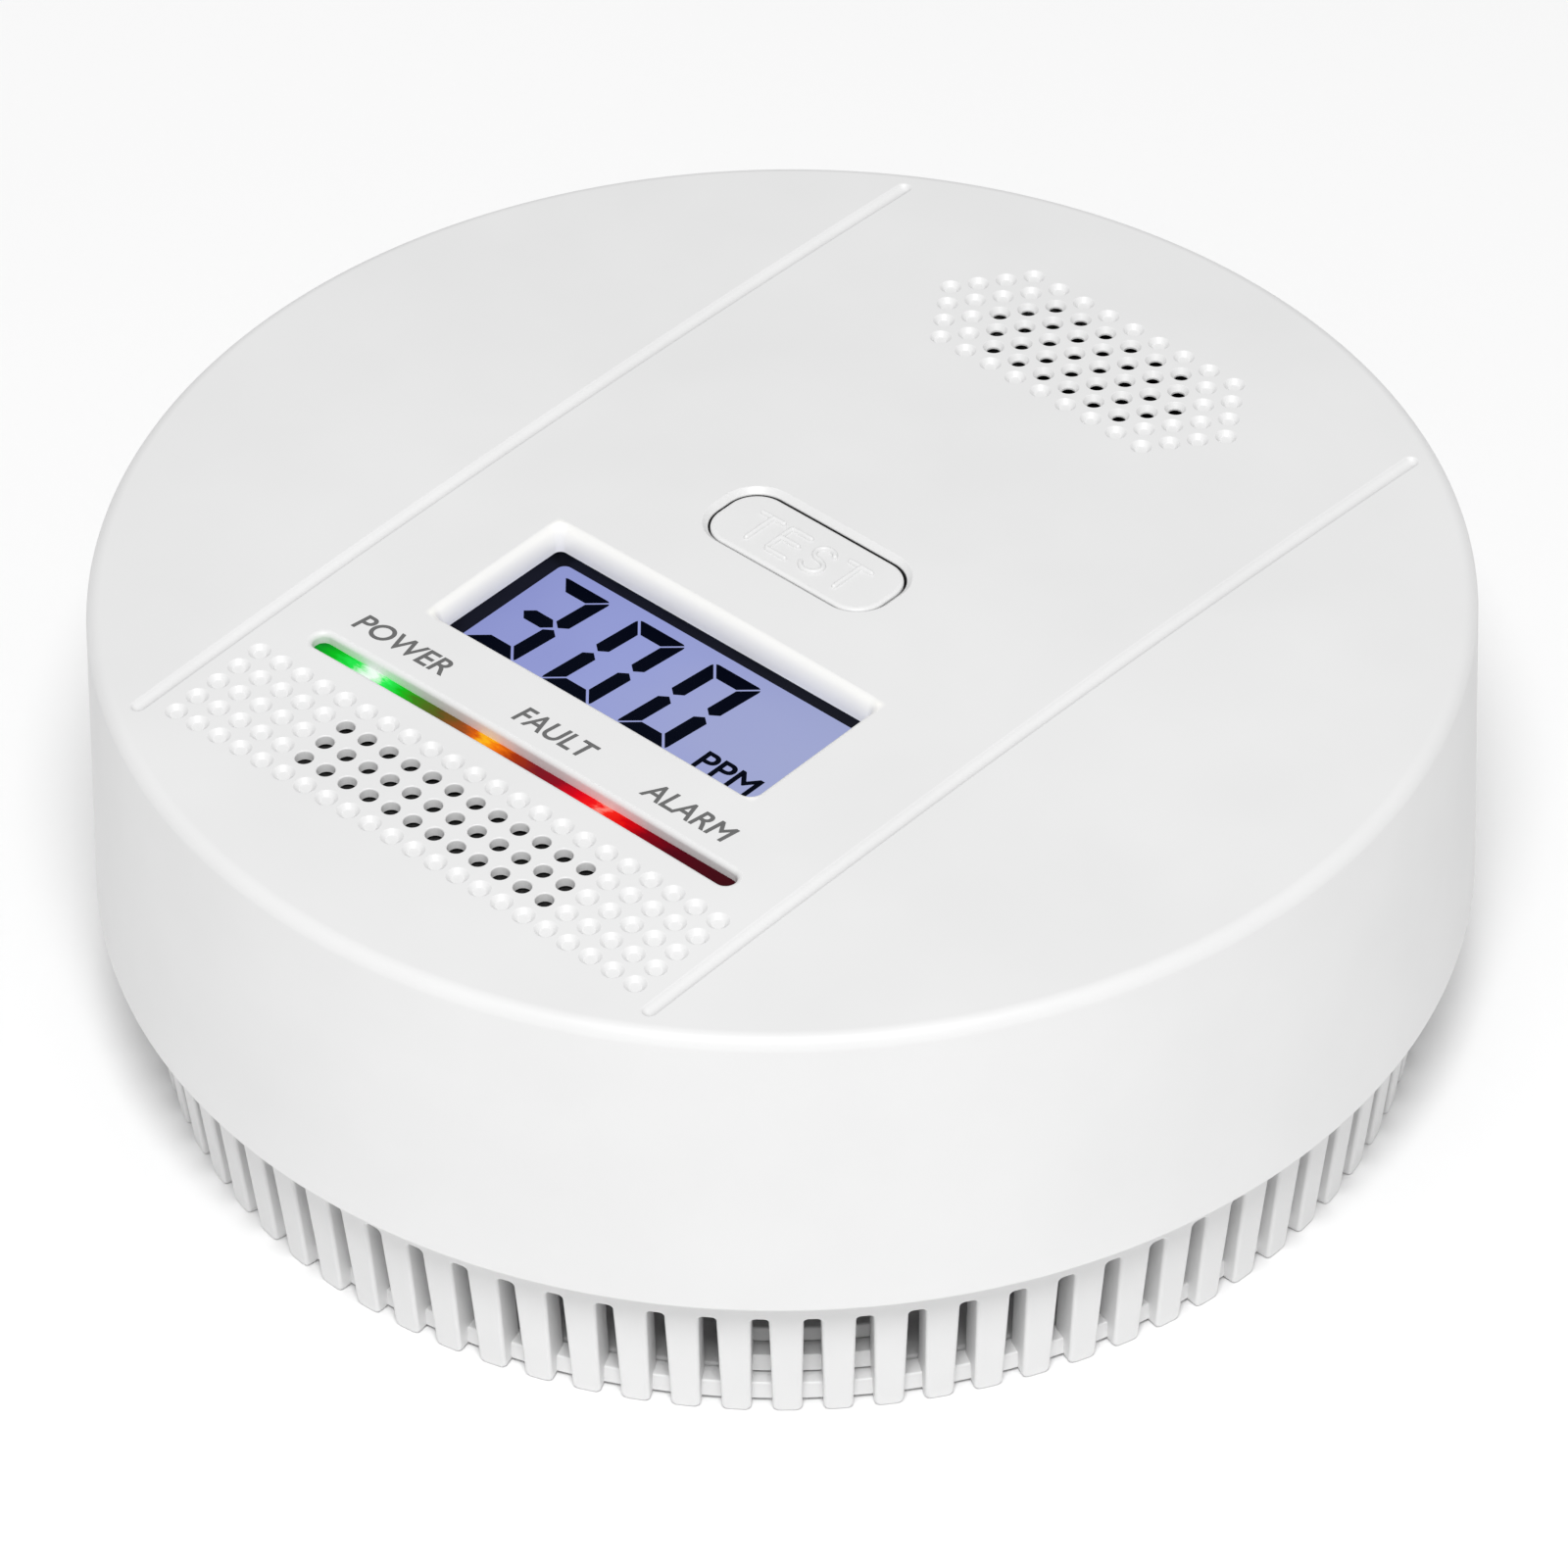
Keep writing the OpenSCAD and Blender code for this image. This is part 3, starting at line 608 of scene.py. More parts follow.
def make_cover():
    skin = Skin()
    rim, under = add_cover_wall(skin)
    grooves = [add_groove(skin, x) for x in (-GROOVE_X, GROOVE_X)]
    sensor_tops, sensor_bottoms = add_sensor_grille(skin)
    sounder_tops, sounder_bottoms = add_sounder_grille(skin)
    window = add_window(skin)
    bar_outline = rounded_rect(0, BAR_Y, BAR_W, BAR_H, BAR_H / 2 - 0.01, 12)
    bar = add_opening(skin, bar_outline, edge(BAR_EDGE, BAR_EDGE, 6))
    button = add_opening(skin, button_outline(), bevel(BUTTON_BEVEL, BUTTON_BEVEL, 0.15))
    tops = [*grooves, *sensor_tops, *sounder_tops, window[0], bar[0], button[0]]
    skin.fill(dome, rim, tops, polar_spots(rim_tangent_r() - 1.2, 4.5, tops))
    sensor_pocket = hole(rounded_rect(0, SENSOR_Y, 49.4, 11.6, 1.0))
    sounder_pocket = hole(circle(0, SOUNDER_Y, 11.5, 64))
    feet = [add_pocket(skin, sensor_pocket, GRILLE_WALL, sensor_bottoms),
            add_pocket(skin, sounder_pocket, SOUNDER_WALL, sounder_bottoms),
            window[1], bar[1], button[1]]
    skin.fill(dome, under, feet, polar_spots(COVER_R - COVER_WALL - 2, 7, feet), depth=COVER_WALL)
    for sx in (-1, 1):
        for sy in (-1, 1):
            add_post(skin, CASE_SCREW_X * sx, CASE_SCREW_Y * sy, 3.2, 1.2, HOUSING_TOP, HOUSING_TOP + 11)
            add_post(skin, BOARD_SCREW_X * sx, BOARD_SCREW_Y * sy, 2.8, 1.0, 22.6, 29.6)
    return skin.build("cover_shell")


# ---------- test button ----------

LETTER_H = 3.02
LETTER_HALF_W = 0.22
LETTER_RISE = 0.26
LETTERS_AT = (-5.82, 1.3)
FLANGE_LOW = 37.6
FLANGE_TOP = 38.75
PLUNGER_R = 2.2


def button_outline(inset=0.0, steps=14, longest=1.2):
    """Outline of the button's opening, or of what sits inside it."""
    return rounded_rect(BUTTON_X, BUTTON_Y, BUTTON_W - 2 * inset, BUTTON_H - 2 * inset,
                        BUTTON_CORNER - inset, steps, longest)


def make_gap_shade_lip():
    """Thin black lip that lines the button's opening below its bevel: a dark sheet that paints the shade in
    the gap round the button.
    """
    skin = Skin()
    low, high, thick = 1.9, BUTTON_BEVEL + 0.09, 0.06
    section = [(0, high, 0), (thick / 2, high, 0.2), (thick, high + 0.03, math.pi / 2),
               (thick, low, math.pi / 2), (thick / 2, low + 0.02, math.pi), (0, low + 0.02, math.pi)]
    first, last = skin.sweep(dome, hole(button_outline()), section)
    skin.bridge(last[0], first[0])
    return skin.build("button_gap_shade")


def oval_arc(cx, cy, rx, ry, start, end, count=13):
    turns = np.radians(np.linspace(start, end, count))
    return [(cx + rx * math.cos(a), cy + ry * math.sin(a)) for a in turns]


def letter_paths():
    """Strokes of the word on the button, in letter heights: T, E, S, T."""
    bar_w = 0.7
    tee = [[(0, 1), (bar_w, 1)], [(bar_w / 2, 1), (bar_w / 2, 0)]]
    corners = [*oval_arc(0.08, 0.92, 0.08, 0.08, 90, 180, 6), *oval_arc(0.08, 0.08, 0.08, 0.08, 180, 270, 6)]
    ee = [[(0.63, 1), *corners, (0.63, 0)], [(0.02, 0.56), (0.58, 0.56)]]
    ess = [oval_arc(0.31, 0.76, 0.27, 0.24, 25, 258) + oval_arc(0.32, 0.26, 0.31, 0.26, 76, -160)]
    starts = (0, 0.99, 1.98, 2.93)
    for start, letter in zip(starts, (tee, ee, ess, tee)):
        for path in letter:
            yield [((start + x) * LETTER_H, y * LETTER_H) for x, y in path]


def raised(height):
    """The domed face lifted by a height."""
    def place(u, v, depth=0.0):
        return dome(u, v, depth - height)
    return place


def make_button():
    skin = Skin()
    top_face = raised(-BUTTON_DROP)
    rim = edge(0.38, 0.26, 7) + [(0, 1.2, math.pi / 2), (0, 2.3, math.pi / 2)]
    points, rays = button_outline(BUTTON_GAP)
    top, foot = skin.sweep(top_face, (points - np.array([0, BUTTON_SETTLE]), rays), rim)
    skin.fill(top_face, top)
    skin.fill(dome, foot)
    flange = rounded_rect(BUTTON_X, BUTTON_Y, BUTTON_W + 2.1, BUTTON_H + 2, 2.0)
    slab(skin, flange, FLANGE_LOW, FLANGE_TOP, 0.15)
    add_rod(skin, BUTTON_X, BUTTON_Y, PLUNGER_R, BUTTON_BOX[0][2], FLANGE_LOW + 0.1, 48)
    for path in letter_paths():
        line = stroke(np.array(path) + LETTERS_AT, LETTER_HALF_W, 6, 0.6)
        crown = edge(LETTER_HALF_W * 0.98, LETTER_RISE, 5, depth=-LETTER_RISE)
        ridge, base = skin.sweep(top_face, line, crown + [(0, 0.1, math.pi / 2)])
        skin.fill(top_face, base)
        skin.fill(top_face, ridge)
    return skin.build("button_cap")


# ---------- rear housing ----------

def rib_sector():
    """Foot and slot edges of one rib pitch, from the middle of a rib round a slot to the next rib."""
    pitch = 2 * math.pi * RIB_FOOT_R / VENT_COUNT
    foot_r, corner = 0.55, 0.36
    lean = math.degrees(math.atan((SLOT_LOW_HALF - SLOT_TOP_HALF) / SLOT_TOP_Z))
    low_half = SLOT_LOW_HALF
    left_foot = arc(-low_half - foot_r, foot_r, foot_r, -90, 0 + lean, 6)
    right_foot = arc(low_half + foot_r, foot_r, foot_r, 180 - lean, 270, 6)
    top_l = arc(-SLOT_TOP_HALF + corner, SLOT_TOP_Z - corner, corner, 180 + lean, 90, 5)
    top_r = arc(SLOT_TOP_HALF - corner, SLOT_TOP_Z - corner, corner, 90, -lean, 5)
    start = (np.array([[-pitch / 2, 0.0]]), np.array([[0.0, -1.0]]))
    parts = [start, left_foot, (top_l[0], -top_l[1]), (top_r[0], -top_r[1]), right_foot]
    return np.concatenate([p for p, _ in parts]), np.concatenate([q for _, q in parts]), pitch


def add_rib_ring(skin):
    """Wall of ribs round the foot, closed above the slots."""
    points, rays, pitch = rib_sector()
    shifts = [np.array([k * pitch, 0.0]) for k in range(VENT_COUNT)]
    outline = (np.concatenate([points + s for s in shifts]), np.concatenate([rays] * VENT_COUNT))
    soft = 0.3
    half = [(0, RIB_DEPTH / 2, math.pi / 2)]
    front, middle = skin.sweep(rib_cone, outline, edge(soft, soft, 5) + half)
    inner_soft = [(off, RIB_DEPTH - deep, math.pi - tilt) for off, deep, tilt in edge(0.2, 0.2, 3)]
    back, inner = skin.sweep(rib_cone, outline, inner_soft)
    skin.bridge(middle[0], inner[0])
    size = len(points)
    for surface, ring, depth, tilt in ((rib_cone, front, 0.0, 0.0), (rib_cone, back, RIB_DEPTH, math.pi)):
        for k in range(VENT_COUNT):
            at = [(k * size + i) % (size * VENT_COUNT) for i in range(size + 1)]
            flat_part = ring[1][at]
            flat_part[-1] = flat_part[0] + [pitch, 0]
            ends = np.array([[flat_part[-1][0], HOUSING_TOP], [flat_part[0][0], HOUSING_TOP]])
            top_points, normal, _, _ = surface(ends[:, 0], ends[:, 1], depth)
            top = skin.add(top_points, normal * math.cos(tilt))
            skin.fill(surface, ([ring[0][i] for i in at] + top, np.concatenate([flat_part, ends])))
    outer = skin.ring(rib_cone, rib_top_outline(pitch), 0, 0, math.pi / 2)
    inner_top = skin.ring(rib_cone, rib_top_outline(pitch), 0, RIB_DEPTH, math.pi / 2)
    skin.bridge(outer[0], inner_top[0])


def rib_top_outline(pitch):
    points = np.array([[(k - 0.5) * pitch, HOUSING_TOP] for k in range(VENT_COUNT)])
    return points, np.array([[0.0, 1.0]] * VENT_COUNT)


def add_band(skin, r_in, r_out, low, high, soft=0.15):
    """Plain ring with rounded edges."""
    section = round_corner(r_out - soft, high - soft, soft, 0, 90, 3)
    section += round_corner(r_out - soft, low + soft, soft, 90, 180, 3)
    section += round_corner(r_in + soft, low + soft, soft, 180, 270, 3)
    section += round_corner(r_in + soft, high - soft, soft, 270, 360, 3)
    lathe(skin, section, steps=WIDE_STEPS)


def make_housing():
    skin = Skin()
    add_rib_ring(skin)
    add_band(skin, RIB_FOOT_R - RIB_DEPTH, RIB_FOOT_R - 0.95, 0.4, 2.0)
    add_band(skin, *LEDGE_R, HOUSING_TOP - 0.9, HOUSING_TOP + 3.4, 0.25)
    deck_r = RIB_FOOT_R - RIB_DEPTH + RIB_SLOPE * DECK_Z + 0.5
    slots = []
    for angle in range(-120, -59, 12):
        ray = np.array([math.cos(math.radians(angle)), math.sin(math.radians(angle))])
        slots.append(hole(stroke([ray * 33.6, ray * 40.4], 1.1, 8, 2.0)))
    screws = [hole(circle(CASE_SCREW_X * sx, CASE_SCREW_Y * sy, 1.6)) for sx in (-1, 1) for sy in (-1, 1)]
    bay_hole = hole(rounded_rect(0, 0, 58, 46, 0.6, 4))
    slab(skin, circle(0, 0, deck_r, WIDE_STEPS), DECK_Z, HOUSING_TOP, 0.12, [*slots, *screws, bay_hole])
    bay_outer = rounded_rect(0, 0, BAY_W, BAY_H, 1.0, 5)
    bay_inner = hole(rounded_rect(0, 0, BAY_W - 2 * BAY_WALL, BAY_H - 2 * BAY_WALL, 0.4, 4))
    bay_roof = BAY_TOP - BAY_WALL
    slab(skin, bay_outer, BAY_FOOT, bay_roof - 0.1, 0.25, [bay_inner])
    slab(skin, bay_outer, bay_roof, BAY_TOP, 0.25)
    for side in (-1, 1):
        slab(skin, rounded_rect(0, side * 7.5, 43, 0.5, 0.2, 3), 8.9, 17.4, 0.1)
    for angle in HOOK_ANGLES:
        lug = annular_sector(43.6, RIB_FOOT_R - RIB_DEPTH + 0.7, angle, 6.5)
        slab(skin, lug, BAY_FOOT, BAY_FOOT + 1.6, 0.12)
    return skin.build("housing_tray")


# ---------- wall plate ----------

def make_plate():
    skin = Skin()
    screws = [hole(circle(0, 33 * side, 2.1, 32)) for side in (-1, 1)]
    slots = [hole(rounded_rect(33 * side, 0, 4.4, 14, 2.1, 8)) for side in (-1, 1)]
    middle = hole(circle(0, 0, 9, 64))
    slab(skin, circle(0, 0, PLATE_R, WIDE_STEPS), 0, PLATE_T, 0.3, [*screws, *slots, middle], 4)
    for angle in HOOK_ANGLES:
        upright = annular_sector(HOOK_R, HOOK_R + 1.5, angle, HOOK_HALF_ANGLE)
        tip = annular_sector(HOOK_R + 1.1, HOOK_TIP_R, angle, HOOK_HALF_ANGLE)
        slab(skin, upright, PLATE_T - 0.3, HOOK_TOP, 0.2)
        slab(skin, tip, HOOK_TOP - 1.4, HOOK_TOP, 0.2)
    return skin.build("wall_plate_shell")


# ---------- display ----------

DIGIT_H = 10.0
DIGIT_W = 4.9
DIGIT_PITCH = 7.68
DIGIT_SLANT = 0.09
STROKE_W = 1.3
SEGMENT_GAP = 0.2
DIGIT_BASE = -17.6
FIRST_DIGIT_X = -16.12
UNIT_X = 6.88
UNIT_H = 2.1
UNIT_W = 5.38
UNIT_WEIGHT = 0.05
LABEL_H = 1.77
LABEL_WEIGHT = 0.04
LABEL_SLANT = 0.17


def segment_shapes():
    """The seven segments of an upright digit, as polygons between x 0 and DIGIT_W."""
    w, h, s, g = DIGIT_W, DIGIT_H, STROKE_W, SEGMENT_GAP
    half, corner, tip, shoulder = s / 2, 0.5, 0.19, 0.68
    skip, cut = math.degrees(g / 2 / corner), g * 0.7

    def bend(cx, start, end):
        return [tuple(p) for p in arc(cx, h - corner, corner, start, end, 3)[0]]

    def flip(shape):
        return [(x, h - y) for x, y in shape][::-1]

    def mirror(shape):
        return [(w - x, y) for x, y in shape][::-1]

    top = bend(corner, 135 - skip, 90) + bend(w - corner, 90, 45 + skip)
    top += [(w - s - cut, h - s), (s + cut, h - s)]
    right = bend(w - corner, 45 - skip, 0) + [(w, h / 2 + shoulder), (w - half, h / 2 + tip)]
    right += [(w - s, h / 2 + shoulder), (w - s, h - s - cut)]
    end, turn = half + 0.3, s + 0.3
    middle = [(end, h / 2), (turn, h / 2 + half), (w - turn, h / 2 + half),
              (w - end, h / 2), (w - turn, h / 2 - half), (turn, h / 2 - half)]
    return {"a": top, "b": right, "c": flip(right), "d": flip(top),
            "e": flip(mirror(right)), "f": mirror(right), "g": middle}


DIGIT_SEGMENTS = {0: "abcdef", 3: "abcdg"}


def add_prism(skin, corners, low, high):
    """Flat-sided plate on a polygon."""
    corners = np.array(corners, float)
    n = len(corners)
    centre = corners.mean(0)
    rays = unit(corners - centre)
    top = skin.add(np.column_stack([corners, np.full(n, high)]), np.tile([0, 0, 1.0], (n, 1)))
    bottom = skin.add(np.column_stack([corners, np.full(n, low)]), np.column_stack([rays, np.zeros(n)]))
    skin.bridge(top, bottom)
    skin.faces.append(tuple(top))
    skin.faces.append(tuple(bottom[::-1]))


def make_digits():
    skin = Skin()
    shapes = segment_shapes()
    for place, digit in enumerate((3, 0, 0)):
        for name in DIGIT_SEGMENTS[digit]:
            corners = [(FIRST_DIGIT_X + place * DIGIT_PITCH + x + DIGIT_SLANT * y, DIGIT_BASE + y)
                       for x, y in shapes[name]]
            add_prism(skin, corners, GLASS_TOP + 0.002, GLASS_TOP + 0.03)
    return skin.build("display_digits", smooth=False)


def make_text(name, words, x, y, cap_height, width, surface_top, weight, slant=0.0, thick=0.03):
    """A word as a thin solid, laid on a surface, with its left end at x and its baseline at y."""
    curve = bpy.data.curves.new(name + "_curve", "FONT")
    curve.body = words
    curve.extrude = 0.5
    curve.resolution_u = 6
    source = bpy.data.objects.new(name + "_source", curve)
    bpy.context.scene.collection.objects.link(source)
    bpy.context.view_layer.update()
    mesh = bpy.data.meshes.new_from_object(source.evaluated_get(bpy.context.evaluated_depsgraph_get()))
    bpy.data.objects.remove(source)
    bpy.data.curves.remove(curve)
    co = np.array([v.co for v in mesh.vertices], float)
    low, high = co.min(0), co.max(0)
    tall = cap_height / (high[1] - low[1])
    across = width / (high[0] - low[0])
    v = (co[:, 1] - low[1]) * tall
    u = x + (co[:, 0] - low[0]) * across + slant * v
    v = y + v
    z = surface_top(u, v) + thick * (co[:, 2] - low[2]) / (high[2] - low[2]) - thick * 0.4
    mesh.vertices.foreach_set("co", (np.column_stack([u, v, z]) * MM).ravel())
    mesh.update()
    work = bmesh.new()
    work.from_mesh(mesh)
    bmesh.ops.remove_doubles(work, verts=work.verts, dist=1e-7)
    bmesh.ops.recalc_face_normals(work, faces=work.faces)
    thicken(work, weight * MM)
    work.to_mesh(mesh)
    work.free()
    return link(name, mesh)


def thicken(work, width):
    """Moves the upright sides of a flat solid outwards, with short corners where they meet sharply."""
    work.normal_update()
    moves = []
    for vert in work.verts:
        upright = [f.normal.xy for f in vert.link_faces if abs(f.normal.z) < 0.5]
        sides = [Vector((*normal, 0)).normalized() for normal in upright]
        outward = sum(sides, Vector((0, 0, 0))).normalized()
        reach = max(0.6, min(outward.dot(side) for side in sides))
        moves.append(outward * (width / reach))
    for vert, move in zip(work.verts, moves):
        vert.co += move


def glass_level(u, v):
    return GLASS_TOP + 0.014 + 0 * u


# ---------- light bar ----------

def make_bar():
    skin = Skin()
    outline = rounded_rect(0, BAR_Y, BAR_W - 0.1, BAR_H - 0.1, BAR_H / 2 - 0.06, 10)
    side = [(0, 1.5, math.pi / 2), (0, 3.0, math.pi / 2)]
    top, foot = skin.sweep(flat(BAR_TOP), outline, edge(0.15, 0.1, 4) + side)
    skin.fill(flat(BAR_TOP), top)
    skin.fill(flat(BAR_TOP - 3, -1), foot)
    lip = rounded_rect(0, BAR_Y, BAR_W + 1.8, BAR_H + 1.7, BAR_H / 2, 8)
    slab(skin, lip, BAR_LIP_TOP - 1.1, BAR_LIP_TOP, 0.1)
    for x in LED_X:
        add_rod(skin, x, BAR_Y, 1.1, BAR_BOX[0][2], BAR_TOP - 2.9, 24)
    return skin.build("indicator_strip")


# ---------- materials ----------

class Shader:
    """A node material: its Principled shader and short ways to add what feeds it."""

    def __init__(self, name):
        self.material = bpy.data.materials.new(name)
        self.material.use_nodes = True
        self.tree = self.material.node_tree
        self.shader = self.tree.nodes["Principled BSDF"]

    def set(self, **values):
        for key, value in values.items():
            self.shader.inputs[key.replace("_", " ")].default_value = value
        return self

    def add(self, kind, **inputs):
        node = self.tree.nodes.new(kind)
        for key, value in inputs.items():
            self.put(node.inputs[key.replace("_", " ")], value)
        return node

    def put(self, socket, value):
        if isinstance(value, bpy.types.NodeSocket):
            self.tree.links.new(value, socket)
        else:
            socket.default_value = value

    def feed(self, key, socket):
        self.tree.links.new(socket, self.shader.inputs[key])

    def place(self):
        return self.add("ShaderNodeTexCoord").outputs["Object"]

    def noise(self, scale, detail=2.0, roughness=0.5, vector=None):
        node = self.add("ShaderNodeTexNoise", Scale=scale, Detail=detail, Roughness=roughness)
        self.tree.links.new(vector or self.place(), node.inputs["Vector"])
        return node.outputs["Fac"]

    def ramp(self, factor, stops, mode="LINEAR"):
        node = self.add("ShaderNodeValToRGB", Fac=factor)
        node.color_ramp.interpolation = mode
        while len(node.color_ramp.elements) < len(stops):
            node.color_ramp.elements.new(1.0)
        for element, (at, colour) in zip(node.color_ramp.elements, stops):
            element.position = at
            element.color = (*colour, 1.0)
        return node.outputs["Color"]

    def spread(self, factor, low, high):
        return self.add("ShaderNodeMapRange", Value=factor, To_Min=low, To_Max=high).outputs["Result"]

    def share(self, value, start, end):
        """How far a value has come from start to end, from 0 to 1."""
        return self.add("ShaderNodeMapRange", Value=value, From_Min=start, From_Max=end).outputs["Result"]

    def axis(self, name):
        return self.add("ShaderNodeSeparateXYZ", Vector=self.place()).outputs[name]

    def compute(self, operation, *values):
        node = self.add("ShaderNodeMath")
        node.operation = operation
        for socket, value in zip(node.inputs, values):
            self.put(socket, value)
        return node.outputs["Value"]

    def bump(self, height, strength, distance):
        node = self.add("ShaderNodeBump", Height=height, Strength=strength, Distance=distance)
        self.feed("Normal", node.outputs["Normal"])


def scaled(colour, factor):
    return tuple(min(1.0, c * factor) for c in colour)


def moulded(name, colour, rough, grain=4200.0, grain_height=0.000006, shade=0.02, painted_light=None, **extra):
    """Moulded plastic: faint mottling in the colour, uneven gloss, and a fine spark-eroded grain."""
    s = Shader(name).set(IOR=1.5, **extra)
    stops = [(0.3, scaled(colour, 1 - shade)), (0.7, scaled(colour, 1 + shade))]
    cloud = s.ramp(s.noise(60.0, 3.0), stops)
    # The optional hook paints light into the base colour, as on the walls of the display opening.
    s.feed("Base Color", painted_light(s, cloud) if painted_light else cloud)
    s.feed("Roughness", s.spread(s.noise(180.0, 3.0), rough - 0.05, rough + 0.05))
    s.bump(s.noise(grain, 2.0), 0.35, grain_height)
    return s.material


def window_wall_painted_light(s, colour):
    """Paints the walls of the display opening a lighter white than the moulded face: painted light that
    lifts the shade in the recess.
    """
    painted_light_reach = []
    for name, middle, half in (("X", DISPLAY_X, DISPLAY_W / 2), ("Y", DISPLAY_Y, DISPLAY_H / 2)):
        off = s.compute("ABSOLUTE", s.compute("SUBTRACT", s.axis(name), middle * MM))
        painted_light_reach.append(s.share(off, (half + DISPLAY_FLARE) * MM, (half + DISPLAY_FLARE * 0.4) * MM))
    mix = s.add("ShaderNodeMix")
    mix.data_type = "RGBA"
    s.put(mix.inputs[0], s.compute("MULTIPLY", *painted_light_reach))
    s.put(mix.inputs[6], colour)
    s.put(mix.inputs[7], (0.95, 0.945, 0.91, 1.0))
    return mix.outputs[2]


def metal(name, colour, rough, grain=900.0):
    """Metal with fine drawn marks and slight tarnish."""
    s = Shader(name).set(Metallic=1.0)
    vector = s.add("ShaderNodeMapping", Vector=s.place(), Scale=(1.0, 1.0, 8.0)).outputs["Vector"]
    marks = s.noise(grain, 4.0, 0.6, vector)
    s.feed("Base Color", s.ramp(s.noise(250.0), [(0.3, scaled(colour, 0.8)), (0.7, colour)]))
    s.feed("Roughness", s.spread(marks, rough - 0.08, rough + 0.12))
    s.bump(marks, 0.2, 0.00001)
    return s.material


def lit_panel():
    """Lit liquid crystal panel: lavender, a little brighter to the right, with a fine pixel grain."""
    s = Shader("display_panel").set(Roughness=0.4, Specular_IOR_Level=0.05, Emission_Strength=1.0)
    along = s.share(s.axis("X"), -0.016, 0.016)
    level = s.compute("MULTIPLY_ADD", along, 0.8, s.spread(s.noise(90.0, 2.0), -0.1, 0.3))
    stops = [(0.0, (0.23, 0.26, 0.57)), (0.35, (0.27, 0.31, 0.62)),
             (0.7, (0.31, 0.345, 0.60)), (1.0, (0.33, 0.37, 0.59))]
    s.feed("Emission Color", s.ramp(level, stops))
    s.set(Base_Color=(0.03, 0.03, 0.04, 1.0))
    s.bump(s.noise(5200.0, 1.0), 0.1, 0.000004)
    return s.material


BAR_STOPS = [
    (-21.1, (0.004, 0.22, 0.020)), (-19.0, (0.002, 0.50, 0.012)), (-17.2, (0.020, 0.82, 0.080)),
    (-16.2, (0.750, 0.98, 0.800)), (-15.3, (0.900, 1.00, 0.930)), (-14.2, (0.030, 0.90, 0.100)),
    (-12.5, (0.005, 0.52, 0.010)), (-11.0, (0.045, 0.22, 0.010)), (-8.5, (0.110, 0.09, 0.016)),
    (-6.2, (0.310, 0.07, 0.015)), (-5.0, (0.720, 0.12, 0.004)), (-4.0, (1.000, 0.48, 0.012)),
    (-3.0, (0.900, 0.18, 0.004)), (-1.2, (0.380, 0.035, 0.004)), (1.2, (0.200, 0.010, 0.017)),
    (3.4, (0.270, 0.004, 0.015)), (5.4, (0.750, 0.001, 0.010)), (7.0, (0.930, 0.010, 0.010)),
    (7.7, (1.000, 0.250, 0.200)), (8.4, (0.950, 0.020, 0.010)), (10.2, (0.720, 0.001, 0.004)),
    (12.0, (0.240, 0.001, 0.007)), (15.0, (0.086, 0.002, 0.008)), (21.1, (0.042, 0.004, 0.007)),
]


def lit_bar():
    """Strip lit from three lamps: colour runs along it, with streaks near the lamps."""
    s = Shader("indicator_glow").set(Roughness=0.4, Specular_IOR_Level=0.0, Emission_Strength=1.0)
    s.set(Base_Color=(0.002, 0.002, 0.002, 1.0))
    slanted = s.add("ShaderNodeMapping", Vector=s.place(), Rotation=(0, 0, 0.6), Scale=(1.0, 3.0, 1.0))
    streaks = s.noise(700.0, 4.0, 0.7, slanted.outputs["Vector"])
    wobbled = s.compute("ADD", s.spread(streaks, -0.0016, 0.0016), s.axis("X"))
    half = BAR_W / 2 * MM
    along = s.share(wobbled, -half, half)
    s.feed("Emission Color", s.ramp(along, [((x * MM / half + 1) / 2, c) for x, c in BAR_STOPS]))
    s.bump(streaks, 0.4, 0.00004)
    return s.material


def board_mask():
    """Solder mask over copper tracks."""
    s = Shader("board_mask").set(Roughness=0.3, Coat_Weight=0.3)
    brick = s.add("ShaderNodeTexBrick", Scale=260.0, Mortar_Size=0.03)
    s.put(brick.inputs["Vector"], s.place())
    s.put(brick.inputs["Color1"], (0.015, 0.14, 0.05, 1))
    s.put(brick.inputs["Color2"], (0.02, 0.17, 0.06, 1))
    s.put(brick.inputs["Mortar"], (0.03, 0.26, 0.1, 1))
    s.feed("Base Color", brick.outputs["Color"])
    s.bump(brick.outputs["Fac"], 0.2, 0.00003)
    return s.material


def cell_jacket():
    """Printed battery jacket: a dark body with a copper band towards one end."""
    s = Shader("cell_jacket").set(Roughness=0.28, Metallic=0.4)
    along = s.share(s.axis("X"), -0.026, 0.026)
    stops = [(0.0, (0.02, 0.02, 0.025)), (0.7, (0.5, 0.2, 0.04))]
    s.feed("Base Color", s.ramp(along, stops, "CONSTANT"))
    s.bump(s.noise(900.0), 0.1, 0.00001)
    return s.material


def painted_shade_mesh():
    """Black woven dust mesh: a filter that is also kept black to paint the shade seen through the grille
    holes above it.
    """
    s = Shader("dust_mesh_and_shade").set(Roughness=0.9)
    check = s.add("ShaderNodeTexChecker", Scale=3500.0)
    s.put(check.inputs["Vector"], s.place())
    s.put(check.inputs["Color1"], (0.004, 0.004, 0.004, 1))
    s.put(check.inputs["Color2"], (0.012, 0.012, 0.012, 1))
    s.feed("Base Color", check.outputs["Color"])
    s.bump(check.outputs["Fac"], 0.5, 0.00005)
    return s.material


